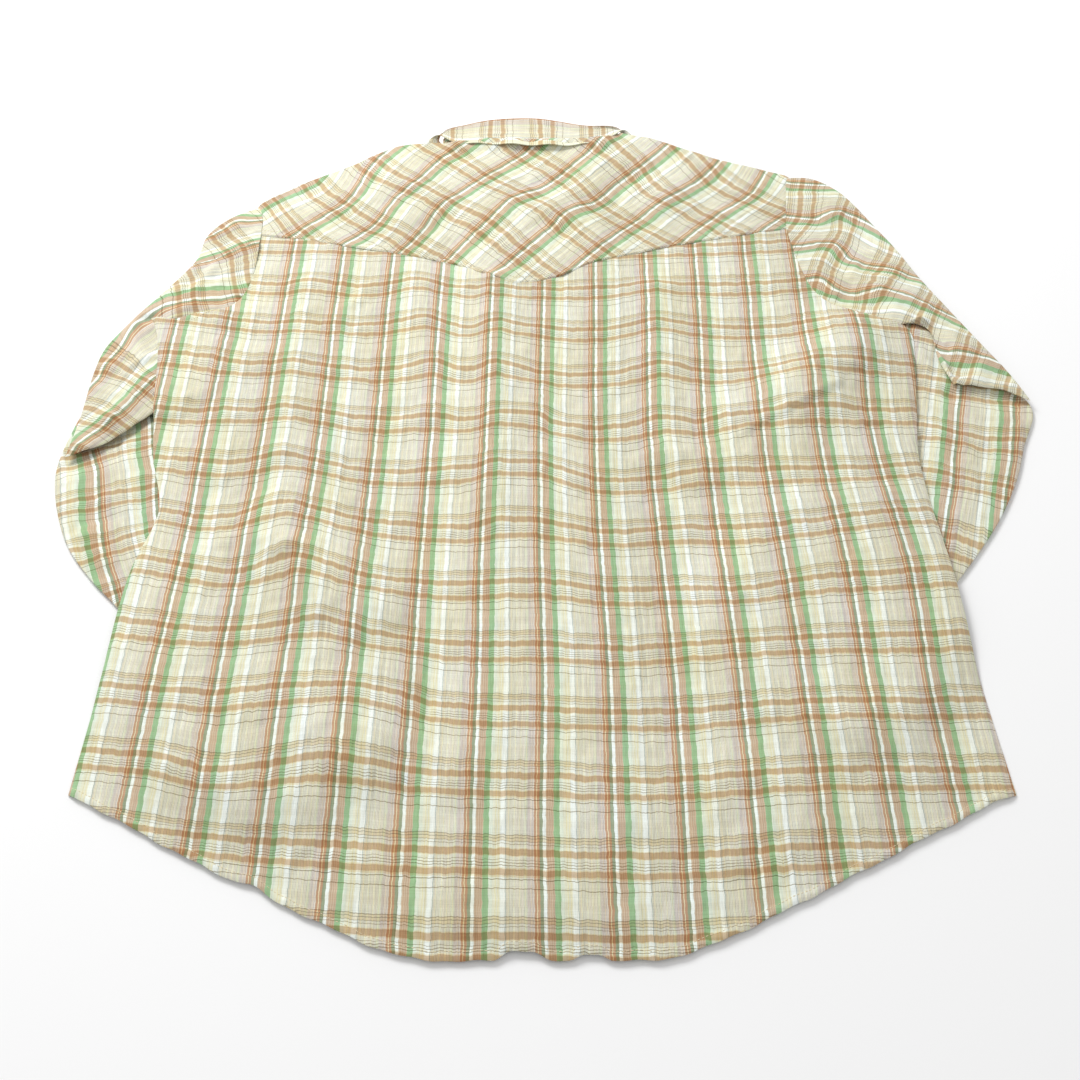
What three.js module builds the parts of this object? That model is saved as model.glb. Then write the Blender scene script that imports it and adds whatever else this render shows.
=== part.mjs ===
// Western snap shirt laid flat on its front, sleeves bent at the elbow and tucked under the body.
// Millimetres. x runs across the shirt, y from the shirt tail to the collar, z up from the surface.
// The tables hold the shirt as it lies, from the middle of the tail.
// placeX and placeY then move the middle of the whole onto the origin.

import * as THREE from 'three';

const bodyLength = 782;
const hemHalf = 308;
const tailDrop = 112;
const frontHemRise = 26;
const frontNeckY = 722;
const placeX = -11.5;
const placeY = -417.5;

const wall = 1.2;
const gap = 0.3;
const layer = wall + gap;
const leftSeamGap = 1.2;
const rightSeamGap = 1.7;
const cuffWall = 1.4;
const bandWall = 1.2;

const placketWidth = 36;
const placketTop = 720;
const snapDiameter = 11;
const snapHeight = 2;
const snapCount = 7;
const snapFirst = 132;
const snapPitch = 92;
const snapDrop = 2.6;

const armholeTurn = 600;
const sleeveHeight = 4.4;
const leftOverFrom = 0.54;
const rightOverFrom = 0.26;
const overRun = 0.22;
const cuffHeight = 4.2;
const bulgeHeight = 5.4;
const lapHalf = 42;
const lapSoft = 52;
const edgeSoft = 62;
const edgeLoft = 0.1;
const shoulderLoft = 0.45;

const armholeColumns = 6;
const seamColumns = 11;
const shoulderColumns = 8;

const cloth = { color: 0xe6e2cb, roughness: 0.9, metalness: 0 };
const yokeCloth = { color: 0xddd2b6, roughness: 0.9, metalness: 0 };
const sleeveCloth = { color: 0xd9dcc4, roughness: 0.9, metalness: 0 };
const trimCloth = { color: 0xcfc09e, roughness: 0.9, metalness: 0 };
const pearl = { color: 0xeeeae0, roughness: 0.35, metalness: 0 };

function table(names, rows) {
  const keys = names.split(' ');
  return rows.map((row) => Object.fromEntries(keys.map((key, i) => [key, row[i]])));
}

// Both side edges of the body as they lie, then roughly how far it reaches between the armholes.
const sideEdge = table('y left right', [
  [tailDrop, -307, 310],
  [200, -303, 304],
  [290, -299, 301],
  [345, -288, 297],
  [400, -302, 296],
  [450, -310, 303],
  [510, -317, 312],
  [540, -324, 314],
  [555, -331, 306],
]);
const armholeEdge = table('y left right', [
  [555, -331, 306],
  [580, -270, 256],
  [640, -257, 234],
  [bodyLength, -262, 240],
]);

const leftArmhole = table('x y', [
  [-331, 555],
  [-309, 549],
  [-288, 555],
  [-266.5, 576],
  [-257, 613],
  [-256, 647],
  [-257, 672.5],
]);
const leftArmholeTop = table('x y', [
  [-257, 672.5],
  [-258, 691.5],
  [-263, 712.5],
]);
const rightArmhole = table('x y', [
  [228, 681],
  [231, 651.5],
  [239, 604.5],
  [249, 586.5],
  [270, 568],
  [288, 558],
  [306, 555],
]);
const rightArmholeTop = table('x y', [
  [228, 681],
  [232, 718],
  [237, 756.5],
]);

const yokeSeamLeft = table('x y', [
  [-257, 672.5],
  [-216, 661],
  [-168, 648],
  [-124, 639],
  [-75, 623],
  [-43.5, 601],
  [-23.5, 592.5],
]);
const yokeSeamRight = table('x y', [
  [-23.5, 592.5],
  [10, 600],
  [44.5, 620],
  [96, 643],
  [146.5, 657],
  [188.5, 667.5],
  [228, 681],
]);

const leftShoulder = table('x y', [
  [-263, 712.5],
  [-237, 735],
  [-208.5, 752],
  [-176.5, 771],
  [-140.5, 794.5],
  [-98, 801],
]);
const rightShoulder = table('x y', [
  [78, 816],
  [107, 808],
  [127, 800],
  [155, 788],
  [178, 776.5],
  [210, 766],
  [237, 756.5],
]);
const backNeck = table('x y', [
  [-98, 801],
  [-83, 788],
  [-39, bodyLength - 1],
  [10, bodyLength - 2],
  [61, 790],
  [78, 816],
]);
const leftFrontNeck = table('x y', [
  [-98, 801],
  [-96, 788],
  [-78, 761],
  [-41, 732.5],
  [18, frontNeckY],
]);
const rightFrontNeck = table('x y', [
  [-18, frontNeckY],
  [31, 732.5],
  [62, 761],
  [78, 794],
  [78, 816],
]);

// The sleeves: the upper stretch from the armhole to the elbow fold, then the forearm stretch.
const leftSleeveOuter = table('x y', [
  [-285, 696],
  [-302, 671.5],
  [-307, 637.5],
  [-331, 591.5],
  [-349, 560.5],
  [-364, 524.5],
  [-367, 493.5],
  [-367.5, 440.5],
  [-370.5, 399],
]);
const leftSleeveInner = table('x y', [
  [-266, 590],
  [-275, 572.5],
  [-288, 559.5],
  [-301, 549.5],
  [-307, 540],
  [-306, 525],
  [-298, 498],
  [-291, 458.5],
]);
const leftElbowFold = table('x y', [
  [-370.5, 399],
  [-347, 409.5],
  [-308, 447.5],
  [-291, 458.5],
]);
const rightSleeveOuter = table('x y', [
  [256.5, 755],
  [278, 738],
  [295, 709],
  [312, 666.5],
  [331.5, 611],
  [351.5, 565.5],
  [369.5, 526],
  [385.5, 491],
  [396.5, 460],
]);
const rightSleeveInner = table('x y', [
  [251, 589],
  [271, 571.5],
  [289, 561.5],
  [307.5, 560],
  [321, 557],
  [330, 546],
  [331, 508],
  [338, 478],
]);
const rightElbowFold = table('x y', [
  [396.5, 460],
  [373.5, 473],
  [338, 478],
]);

// Each row is one cross-section of a forearm stretch, from its outer edge to its inner edge.
const leftForearm = table('outerX outerY innerX innerY', [
  [-364, 470, -240, 520],
  [-373, 430, -232, 470],
  [-376, 383, -222, 420],
  [-355, 320.5, -205, 365],
  [-329.5, 285.5, -190, 330],
  [-302.5, 257.5, -174, 298],
  [-259, 207, -156, 266],
]);
const rightForearm = table('outerX outerY innerX innerY', [
  [362, 544, 304, 556],
  [388, 480, 255, 530],
  [398, 454, 246, 485],
  [383, 415, 238, 440],
  [370, 381, 226, 405],
  [348, 340.5, 213, 372],
  [320, 301.5, 198, 344],
  [288, 262, 185, 321],
]);
const leftCuff = table('outerX outerY innerX innerY', [
  [-258.8, 206.6, -155.8, 265.6],
  [-243, 179, -140, 238],
  [-226, 150, -123, 209],
]);
const rightCuff = table('outerX outerY innerX innerY', [
  [287.8, 261.6, 184.8, 320.6],
  [272, 234, 169, 293],
  [255, 205, 152, 264],
]);

// What lies under the body lifts it: a soft-edged bar from one point to another for each.
const liftUnder = table('fromX fromY toX toY reach height', [
  [-302, 530, -300, 480, 26, 10.4],
  [-320, 553, -298, 549, 20, 5.6],
  [-300, 470, -262, 380, 84, 5.6],
  [-262, 380, -208, 236, 80, 5.6],
  [-208, 236, -174, 180, 70, 7.4],
  [316, 560, 322, 500, 8, 5.6],
  [318, 480, 290, 400, 84, 5.6],
  [290, 400, 236, 292, 78, 5.6],
  [236, 292, 203, 235, 70, 7.4],
  [-88, 788, -84, 722, 44, 2.1],
  [-104, 800, -92, 788, 18, 4],
  [70, 790, 66, 722, 44, 2.1],
  [86, 808, 84, 788, 20, 4],
]);
const liftSoft = 46;

// The largest folds of the back and yoke: a ridge along a line, fading at both ends.
const backFolds = table('fromX fromY toX toY reach height', [
  [-205, 330, -118, 250, 34, 5.5],
  [-245, 500, -262, 380, 26, 4],
  [-95, 600, -80, 380, 22, 2.6],
  [-40, 600, -36, 360, 20, 2.4],
  [95, 590, 102, 400, 24, 3],
  [150, 440, 285, 512, 26, 6],
  [120, 380, 230, 458, 26, 5],
  [292, 555, 190, 470, 26, 5],
  [-190, 170, -60, 120, 34, 3],
  [60, 90, 230, 150, 30, 3],
  [-160, 770, -110, 690, 26, 4],
  [70, 800, 20, 690, 26, 4],
  [150, 770, 110, 700, 24, 3.5],
]);

// The collar band and fall, from the left front round the neck to the right front.
const band = table('neckX neckY neckZ foldX foldY foldZ', [
  [-1, 728, 3, -1, 757, 3],
  [-40, 738, 3.2, -35, 765, 3.2],
  [-74, 765, 3.8, -64, 787, 3.4],
  [-91, 790, 4.4, -85, 803, 4.4],
  [-92.4, 802, 6.6, -94, 809, 6.6],
  [-86, 800, 8.6, -89, 814, 8.6],
  [-66, 789.5, 9, -70, 821, 9.6],
  [-38, 785, 9.4, -46, 827, 10.4],
  [10, 784, 9.4, -4, 829, 10.6],
  [48, 789.5, 9, 42, 818, 10],
  [66, 802, 8.6, 66, 817, 8.8],
  [73.4, 814, 6.4, 76, 820, 6.6],
  [72, 797, 4.6, 70, 804, 4.4],
  [58, 765, 3.8, 50, 787, 3.4],
  [30, 738, 3.2, 27, 765, 3.2],
  [1, 728, 3, 1, 757, 3],
]);
const fall = table('foldX foldY foldZ leafX leafY leafZ', [
  [-4, 760, 1.6, -56, 690, 1.1],
  [-36, 770, 1.6, -84, 712, 1.1],
  [-68, 791, 1.6, -108, 744, 1.1],
  [-91, 806, 2.4, -120, 776, 1.1],
  [-98, 811, 5, -113, 808, 1.8],
  [-93, 820, 9.6, -100, 813, 9.8],
  [-71, 827, 12, -82, 798, 13],
  [-48, 833, 13, -40, 789, 17.6],
  [-4, 835, 13.4, 8, 786, 18.4],
  [44, 824, 13, 46, 790, 17],
  [70, 826, 11, 70, 807, 13.8],
  [78, 826, 7.4, 83, 822.5, 8.6],
  [81, 823, 4.8, 93, 818.5, 2.6],
  [74, 808, 2, 104, 784, 1.2],
  [52, 791, 1.6, 94, 744, 1.1],
  [28, 770, 1.6, 72, 712, 1.1],
  [4, 760, 1.6, 46, 690, 1.1],
]);

const mix = (a, b, t) => a + (b - a) * t;
const clamp = (value) => Math.min(1, Math.max(0, value));
const smooth = (value) => {
  const t = clamp(value);
  return t * t * (3 - 2 * t);
};

// A value from a table at a place in another column, straight between rows.
function valueAt(rows, key, at, name) {
  const last = rows.length - 1;
  let i = 0;
  while (i < last - 1 && rows[i + 1][key] < at) i += 1;
  const t = clamp((at - rows[i][key]) / (rows[i + 1][key] - rows[i][key]));
  return mix(rows[i][name], rows[i + 1][name], t);
}

function curveThrough(rows, x = 'x', y = 'y', z = '') {
  const points = rows.map((row) => new THREE.Vector3(row[x], row[y], z ? row[z] : 0));
  const curve = new THREE.CatmullRomCurve3(points, false, 'centripetal');
  return (t) => curve.getPointAt(clamp(t));
}

const backward = (curve) => (t) => curve(1 - t);

// Several curves end to end, each taking a number of the panel's columns.
function chain(parts) {
  const whole = parts.reduce((sum, part) => sum + part.columns, 0);
  return (t) => {
    let start = 0;
    for (const { curve, columns } of parts) {
      if (t * whole <= start + columns + 1e-6) return curve((t * whole - start) / columns);
      start += columns;
    }
    return parts.at(-1).curve(1);
  };
}

// A four-sided panel filled in from its edges. How its side edges curve fades inwards with hold.
function panel(bottom, top, left, right, hold) {
  const offLine = (line, name, v) => line(v)[name] - mix(line(0)[name], line(1)[name], v);
  const fill = (name, u, v) => {
    const along = mix(bottom(u)[name], top(u)[name], v);
    return along + offLine(left, name, v) * (1 - u) ** hold + offLine(right, name, v) * u ** hold;
  };
  return (u, v) => ({ x: fill('x', u, v), y: fill('y', u, v) });
}

// Half of the shirt tail, as shares of the half width and of the drop.
const tailShape = table('out up', [
  [0, 0],
  [0.24, 0.006],
  [0.32, 0.07],
  [0.41, 0.18],
  [0.7, 0.56],
  [1, 1],
]);

function hemY(x) {
  return tailDrop * valueAt(tailShape, 'out', Math.abs(x) / hemHalf, 'up');
}

function hemLine(from, to, rise) {
  return (t) => {
    const x = mix(from, to, t);
    return { x, y: mix(hemY(x), tailDrop, rise / tailDrop) };
  };
}

// How far a point lies from a bar, as 1 on the bar and 0 past its soft edge.
function nearBar(bar, x, y, soft) {
  const runX = bar.toX - bar.fromX;
  const runY = bar.toY - bar.fromY;
  const t = clamp(((x - bar.fromX) * runX + (y - bar.fromY) * runY) / (runX * runX + runY * runY));
  const distance = Math.hypot(x - bar.fromX - runX * t, y - bar.fromY - runY * t);
  return smooth(1 - (distance - bar.reach) / soft);
}

function lift(x, y) {
  return Math.max(0, ...liftUnder.map((bar) => bar.height * nearBar(bar, x, y, liftSoft)));
}

function ridge(fold, x, y) {
  const runX = fold.toX - fold.fromX;
  const runY = fold.toY - fold.fromY;
  const length = Math.hypot(runX, runY);
  const t = ((x - fold.fromX) * runX + (y - fold.fromY) * runY) / length;
  const off = ((x - fold.fromX) * runY - (y - fold.fromY) * runX) / length;
  const ends = smooth(1 - Math.max(-t, t - length) / fold.reach);
  return fold.height * ends * Math.exp(-((off / fold.reach) ** 2));
}

function bodyEdges(y) {
  const rows = y < armholeEdge[0].y ? sideEdge : armholeEdge;
  return { left: valueAt(rows, 'y', y, 'left'), right: valueAt(rows, 'y', y, 'right') };
}

function shoulderY(x) {
  const rows = [...leftShoulder, ...rightShoulder];
  return valueAt(rows, 'x', x, 'y');
}

// How high the stacked fronts stand along the middle, where they lap over each other.
function lapShare(x) {
  return smooth((lapHalf + lapSoft - Math.abs(x)) / lapSoft);
}

// The snaps hold the placket off the surface, but not as far down as the hem.
function lapRise(x, y) {
  return snapDrop * smooth((y - frontHemRise - 10) / (snapFirst - frontHemRise - 26)) * lapShare(x);
}

function leftFrontLow(x, y) {
  return Math.max(lift(x, y), lapRise(x, y) + layer * lapShare(x));
}

function rightFrontLow(x, y) {
  return Math.max(lift(x, y), lapRise(x, y) + 2 * layer * lapShare(x));
}

function backLow(x, y) {
  const edges = bodyEdges(y);
  const fromSides = smooth((Math.min(x - edges.left, edges.right - x) + 2) / edgeSoft);
  const fromHem = smooth((y - hemY(x) + 8) / edgeSoft);
  const fromShoulder = mix(shoulderLoft, 1, smooth((shoulderY(x) - y) / edgeSoft));
  const free = fromSides * fromHem * fromShoulder;
  const folds = backFolds.reduce((sum, fold) => sum + ridge(fold, x, y), 0);
  const lapped = 2.2 * layer * lapShare(x) * smooth(y / frontHemRise);
  const under = Math.max(lift(x, y), lapRise(x, y) + lapped);
  return under + layer + edgeLoft + (bulgeHeight + folds) * free;
}

function facingOut(geometry) {
  const position = geometry.attributes.position;
  const index = geometry.index.array;
  const [a, b, c] = [new THREE.Vector3(), new THREE.Vector3(), new THREE.Vector3()];
  let volume = 0;
  for (let i = 0; i < index.length; i += 3) {
    a.fromBufferAttribute(position, index[i]);
    b.fromBufferAttribute(position, index[i + 1]);
    c.fromBufferAttribute(position, index[i + 2]);
    volume += a.dot(b.cross(c));
  }
  if (volume < 0) {
    for (let i = 0; i < index.length; i += 3) {
      [index[i], index[i + 1]] = [index[i + 1], index[i]];
    }
  }
  return geometry;
}

function solid(points, faces) {
  const geometry = new THREE.BufferGeometry();
  geometry.setAttribute('position', new THREE.Float32BufferAttribute(points.flat(), 3));
  geometry.setIndex(faces.flatMap(([a, b, c, d]) => (d === undefined ? [a, b, c] : [a, b, c, a, c, d])));
  return facingOut(geometry);
}

// A wall of cloth: a grid of lower points and the same grid of upper points, closed at its rims.
function wallFrom(columns, rows, lower, upper) {
  const wide = columns + 1;
  const points = [];
  for (const side of [lower, upper]) {
    for (let j = 0; j <= rows; j += 1) {
      for (let i = 0; i <= columns; i += 1) points.push(side(i / columns, j / rows));
    }
  }
  const half = wide * (rows + 1);
  const faces = [];
  for (let j = 0; j < rows; j += 1) {
    for (let i = 0; i < columns; i += 1) {
      const a = j * wide + i;
      faces.push([a, a + wide, a + wide + 1, a + 1]);
      faces.push([half + a, half + a + 1, half + a + wide + 1, half + a + wide]);
    }
  }
  const rim = [];
  for (let i = 0; i < columns; i += 1) rim.push(i);
  for (let j = 0; j < rows; j += 1) rim.push(j * wide + columns);
  for (let i = columns; i > 0; i -= 1) rim.push(rows * wide + i);
  for (let j = rows; j > 0; j -= 1) rim.push(j * wide);
  rim.forEach((a, k) => {
    const b = rim[(k + 1) % rim.length];
    faces.push([a, b, half + b, half + a]);
  });
  return solid(points, faces);
}

// A panel of cloth of even thickness lying at the height that low gives.
function layPanel(shape, low, columns, rows, thick) {
  const at = (extra) => (u, v) => {
    const { x, y } = shape(u, v);
    return [x, y, low(x, y, u, v) + extra];
  };
  return wallFrom(columns, rows, at(0), at(thick));
}

// A flattened tube of cloth, open at both ends, round the shape that its plan gives.
function layTube(shape, middle, height, thick, around, rows) {
  const points = [];
  const steps = around * 2;
  for (const inset of [0, thick]) {
    for (let j = 0; j <= rows; j += 1) {
      for (let k = 0; k < steps; k += 1) {
        const turn = (k / steps) * 2 * Math.PI;
        const v = j / rows;
        const a = shape(0, v);
        const b = shape(1, v);
        const shrink = 1 - (2 * inset) / Math.hypot(b.x - a.x, b.y - a.y);
        const u = 0.5 - 0.5 * Math.cos(turn) * shrink;
        const { x, y } = shape(u, v);
        const round = Math.sign(Math.sin(turn)) * Math.abs(Math.sin(turn)) ** 0.6;
        points.push([x, y, middle(u, v) + (height / 2 - inset) * round]);
      }
    }
  }
  const half = steps * (rows + 1);
  const faces = [];
  for (let k = 0; k < steps; k += 1) {
    const next = (k + 1) % steps;
    for (let j = 0; j < rows; j += 1) {
      const [a, b] = [j * steps + k, j * steps + next];
      faces.push([a, b, b + steps, a + steps]);
      faces.push([half + a, half + a + steps, half + b + steps, half + b]);
    }
    const end = rows * steps;
    faces.push([k, half + k, half + next, next]);
    faces.push([end + k, end + next, half + end + next, half + end + k]);
  }
  return solid(points, faces);
}

// A strip of cloth between two lines in space, thickened to both sides of its middle.
function strip(fromLine, toLine, thick, columns, rows) {
  const at = (u, v) => fromLine(u).clone().lerp(toLine(u), v);
  const side = (sign) => (u, v) => {
    const step = 0.004;
    const along = at(clamp(u + step), v).sub(at(clamp(u - step), v));
    const across = toLine(u).clone().sub(fromLine(u));
    const normal = along.cross(across).normalize();
    return at(u, v).addScaledVector(normal, (sign * thick) / 2).toArray();
  };
  return wallFrom(columns, rows, side(-1), side(1));
}

function mesh(name, geometry, finish) {
  const piece = new THREE.Mesh(geometry, new THREE.MeshStandardMaterial(finish));
  piece.name = name;
  return piece;
}

const between = (rows) => {
  const outer = curveThrough(rows, 'outerX', 'outerY');
  const inner = curveThrough(rows, 'innerX', 'innerY');
  return (u, v) => {
    const a = outer(v);
    const b = inner(v);
    return { x: mix(a.x, b.x, u), y: mix(a.y, b.y, u) };
  };
};

const sideLine = (name) => curveThrough(sideEdge.map((row) => ({ x: row[name], y: row.y })));

function backPanel() {
  const top = chain([
    { curve: curveThrough(leftArmhole), columns: armholeColumns },
    { curve: curveThrough(yokeSeamLeft), columns: seamColumns },
    { curve: curveThrough(yokeSeamRight), columns: seamColumns },
    { curve: curveThrough(rightArmhole), columns: armholeColumns },
  ]);
  return panel(hemLine(-307, 310, 0), top, sideLine('left'), sideLine('right'), 4);
}

function yokePanel() {
  const raise = (rows) => rows.map((row) => ({ x: row.x, y: row.y + gap }));
  const bottom = chain([
    { curve: curveThrough(raise(yokeSeamLeft)), columns: seamColumns },
    { curve: curveThrough(raise(yokeSeamRight)), columns: seamColumns },
  ]);
  const top = chain([
    { curve: curveThrough(leftShoulder), columns: shoulderColumns },
    { curve: curveThrough(backNeck), columns: 2 * (seamColumns - shoulderColumns) },
    { curve: curveThrough(rightShoulder), columns: shoulderColumns },
  ]);
  return panel(bottom, top, curveThrough(raise(leftArmholeTop)), curveThrough(raise(rightArmholeTop)), 4);
}

const frontEdge = (x) => (t) => ({ x, y: mix(frontHemRise, frontNeckY, t) });

function leftFrontPanel() {
  const top = chain([
    { curve: curveThrough(leftArmhole), columns: armholeColumns },
    { curve: curveThrough(leftArmholeTop), columns: 2 },
    { curve: curveThrough(leftShoulder), columns: 5 },
    { curve: curveThrough(leftFrontNeck), columns: 5 },
  ]);
  const middle = frontEdge(placketWidth / 2);
  return panel(hemLine(-307, placketWidth / 2, frontHemRise), top, sideLine('left'), middle, 4);
}

function rightFrontPanel() {
  const top = chain([
    { curve: curveThrough(rightFrontNeck), columns: 5 },
    { curve: curveThrough(rightShoulder), columns: 5 },
    { curve: backward(curveThrough(rightArmholeTop)), columns: 2 },
    { curve: curveThrough(rightArmhole), columns: armholeColumns },
  ]);
  const middle = frontEdge(-placketWidth / 2);
  return panel(hemLine(-placketWidth / 2, 310, frontHemRise), top, middle, sideLine('right'), 4);
}

function placketPanel() {
  const half = placketWidth / 2 - 0.5;
  return (u, v) => ({ x: mix(-half, half, u), y: mix(frontHemRise + 1, placketTop, v) });
}

// The seam end of a sleeve follows the armhole down from the shoulder, a small gap outside it.
// Where the armhole turns out towards the side seam, the inner edge of the sleeve begins.
function armholeLine(top, armhole, off) {
  const joined = chain([
    { curve: curveThrough(top), columns: 2 },
    { curve: curveThrough(armhole.filter((row) => row.y >= armholeTurn)), columns: 3 },
  ]);
  return (t) => {
    const point = joined(t);
    return { x: point.x + off, y: point.y };
  };
}

function sleevePanel(seam, outer, inner, fold) {
  const outerLine = curveThrough([seam(0), ...outer]);
  const innerLine = curveThrough([seam(1), ...inner]);
  return panel(seam, curveThrough(fold), outerLine, innerLine, 1);
}

// Middle height of an upper sleeve: on the surface at first, then over the forearm.
const sleeveMiddle = (overFrom) => (u, v) =>
  sleeveHeight / 2 + (sleeveHeight + 2 * gap) * smooth((v - overFrom) / overRun);

function snapCap() {
  const radius = snapDiameter / 2;
  const profile = [
    [0, 0],
    [radius * 0.62, 0],
    [radius * 0.92, snapHeight * 0.28],
    [radius, snapHeight * 0.62],
    [radius * 0.94, snapHeight],
    [0, snapHeight],
  ].map(([x, y]) => new THREE.Vector2(x, y));
  const cap = new THREE.LatheGeometry(profile, 10);
  cap.rotateX(Math.PI / 2);
  return cap;
}

const group = new THREE.Group();
group.position.set(placeX, placeY, 0);

group.add(mesh('back', layPanel(backPanel(), backLow, 2 * (armholeColumns + seamColumns), 24, wall), cloth));
group.add(mesh('back_yoke', layPanel(yokePanel(), backLow, 2 * seamColumns, 8, wall), yokeCloth));
group.add(mesh('left_front', layPanel(leftFrontPanel(), leftFrontLow, 18, 24, wall), cloth));
group.add(mesh('right_front', layPanel(rightFrontPanel(), rightFrontLow, 18, 24, wall), cloth));
group.add(mesh('front_placket', layPanel(placketPanel(), lapRise, 4, 20, wall), trimCloth));

const bandNeck = curveThrough(band, 'neckX', 'neckY', 'neckZ');
const bandFold = curveThrough(band, 'foldX', 'foldY', 'foldZ');
group.add(mesh('collar_band', strip(bandNeck, bandFold, bandWall, 36, 2), trimCloth));
const fallFold = curveThrough(fall, 'foldX', 'foldY', 'foldZ');
const fallLeaf = curveThrough(fall, 'leafX', 'leafY', 'leafZ');
group.add(mesh('collar_fall', strip(fallFold, fallLeaf, wall, 40, 3), trimCloth));

const leftSeam = armholeLine(leftArmholeTop.toReversed(), leftArmhole.toReversed(), -leftSeamGap);
const rightSeam = armholeLine(rightArmholeTop.toReversed(), rightArmhole, rightSeamGap);
const leftUpper = sleevePanel(leftSeam, leftSleeveOuter, leftSleeveInner, leftElbowFold);
const rightUpper = sleevePanel(rightSeam, rightSleeveOuter, rightSleeveInner, rightElbowFold);
const flat = (height) => () => height / 2;
for (const [side, upper, over] of [['left', leftUpper, leftOverFrom], ['right', rightUpper, rightOverFrom]]) {
  const sleeve = layTube(upper, sleeveMiddle(over), sleeveHeight, wall, 9, 16);
  group.add(mesh(`${side}_sleeve`, sleeve, sleeveCloth));
}
for (const [side, forearm, cuff] of [['left', leftForearm, leftCuff], ['right', rightForearm, rightCuff]]) {
  const lower = layTube(between(forearm), flat(sleeveHeight), sleeveHeight, wall, 9, 12);
  group.add(mesh(`${side}_forearm`, lower, sleeveCloth));
  const end = layTube(between(cuff), flat(cuffHeight), cuffHeight, cuffWall, 9, 4);
  group.add(mesh(`${side}_cuff`, end, trimCloth));
}

for (let i = 0; i < snapCount; i += 1) {
  const snap = mesh(`front_snap_${i + 1}`, snapCap(), pearl);
  snap.position.set(0, snapFirst + i * snapPitch, gap);
  group.add(snap);
}

export default group;
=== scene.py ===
import math
import bpy
import numpy as np
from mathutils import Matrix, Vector


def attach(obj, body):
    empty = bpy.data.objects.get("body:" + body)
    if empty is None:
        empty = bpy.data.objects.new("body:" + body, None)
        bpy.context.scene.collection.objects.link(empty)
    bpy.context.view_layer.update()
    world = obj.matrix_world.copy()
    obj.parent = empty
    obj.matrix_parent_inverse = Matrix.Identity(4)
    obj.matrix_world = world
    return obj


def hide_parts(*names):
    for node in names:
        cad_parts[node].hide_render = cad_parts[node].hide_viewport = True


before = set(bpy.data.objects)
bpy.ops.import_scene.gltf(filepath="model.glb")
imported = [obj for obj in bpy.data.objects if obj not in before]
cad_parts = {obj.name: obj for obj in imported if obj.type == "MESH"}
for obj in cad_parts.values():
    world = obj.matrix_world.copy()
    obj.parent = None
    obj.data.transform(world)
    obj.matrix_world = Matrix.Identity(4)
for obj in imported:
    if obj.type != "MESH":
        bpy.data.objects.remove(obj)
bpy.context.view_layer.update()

# Millimetres in the tables, from the middle of the tail, as in the CAD source. Meshes are in metres.
hemHalf, tailDrop, frontHemRise, frontNeckY = 308, 112, 26, 722
placeX, placeY = -11.5, -417.5
wall, gap = 1.2, 0.3
layer = wall + gap
placketWidth, placketTop = 36, 720
snapCount, snapFirst, snapPitch, snapDrop = 7, 132, 92, 2.6
armholeTurn = 600
sleeveHeight, overRun, leftOverFrom, rightOverFrom = 4.4, 0.22, 0.54, 0.26
cuffHeight, bulgeHeight = 4.2, 5.4
lapHalf, lapSoft, edgeSoft, edgeLoft, shoulderLoft = 42, 52, 62, 0.1, 0.45
clothThick = 0.7
viewY, viewHeight = -292.4, 786.0

sideEdge = np.array([
    [112, -307, 310], [200, -303, 304], [290, -299, 301], [345, -288, 297], [400, -302, 296],
    [450, -310, 303], [510, -317, 312], [540, -324, 314], [555, -331, 306]], float)
armholeEdge = np.array([[555, -331, 306], [580, -270, 256], [640, -257, 234], [782, -262, 240]], float)
leftArmhole = [(-331, 555), (-309, 549), (-288, 555), (-266.5, 576), (-257, 613), (-256, 647), (-257, 672.5)]
leftArmholeTop = [(-257, 672.5), (-258, 691.5), (-263, 712.5)]
rightArmhole = [(228, 681), (231, 651.5), (239, 604.5), (249, 586.5), (270, 568), (288, 558), (306, 555)]
rightArmholeTop = [(228, 681), (232, 718), (237, 756.5)]
yokeSeamLeft = [(-257, 672.5), (-216, 661), (-168, 648), (-124, 639), (-75, 623), (-43.5, 601),
                (-23.5, 592.5)]
yokeSeamRight = [(-23.5, 592.5), (10, 600), (44.5, 620), (96, 643), (146.5, 657), (188.5, 667.5),
                 (228, 681)]
leftShoulder = [(-263, 712.5), (-237, 735), (-208.5, 752), (-176.5, 771), (-140.5, 794.5), (-98, 801)]
rightShoulder = [(78, 816), (107, 808), (127, 800), (155, 788), (178, 776.5), (210, 766),
                 (237, 756.5)]
leftFrontNeck = [(-98, 801), (-96, 788), (-78, 761), (-41, 732.5), (18, 722)]
rightFrontNeck = [(-18, 722), (31, 732.5), (62, 761), (78, 794), (78, 816)]

leftSleeveOuter = [(-285, 696), (-302, 671.5), (-307, 637.5), (-331, 591.5), (-349, 560.5),
                   (-364, 524.5), (-367, 493.5), (-367.5, 440.5), (-370.5, 399)]
leftSleeveInner = [(-257, 588), (-267, 569), (-284, 551), (-298, 544), (-307, 538),
                   (-306, 525), (-298, 498), (-291, 458.5)]
leftElbowFold = [(-370.5, 399), (-347, 409.5), (-308, 447.5), (-291, 458.5)]
rightSleeveOuter = [(256.5, 755), (278, 738), (295, 709), (312, 666.5), (331.5, 611),
                    (351.5, 565.5), (369.5, 526), (385.5, 491), (396.5, 460)]
rightSleeveInner = [(245, 584), (262, 566), (283, 553), (302, 549), (318, 551), (329, 543),
                    (331, 508), (338, 478)]
rightElbowFold = [(396.5, 460), (373.5, 473), (338, 478)]
leftForearm = np.array([
    [-364, 470, -240, 520], [-373, 430, -232, 470], [-376, 383, -222, 420], [-355, 320.5, -205, 365],
    [-329.5, 285.5, -190, 330], [-302.5, 257.5, -174, 298], [-259, 207, -156, 266]])
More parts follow.
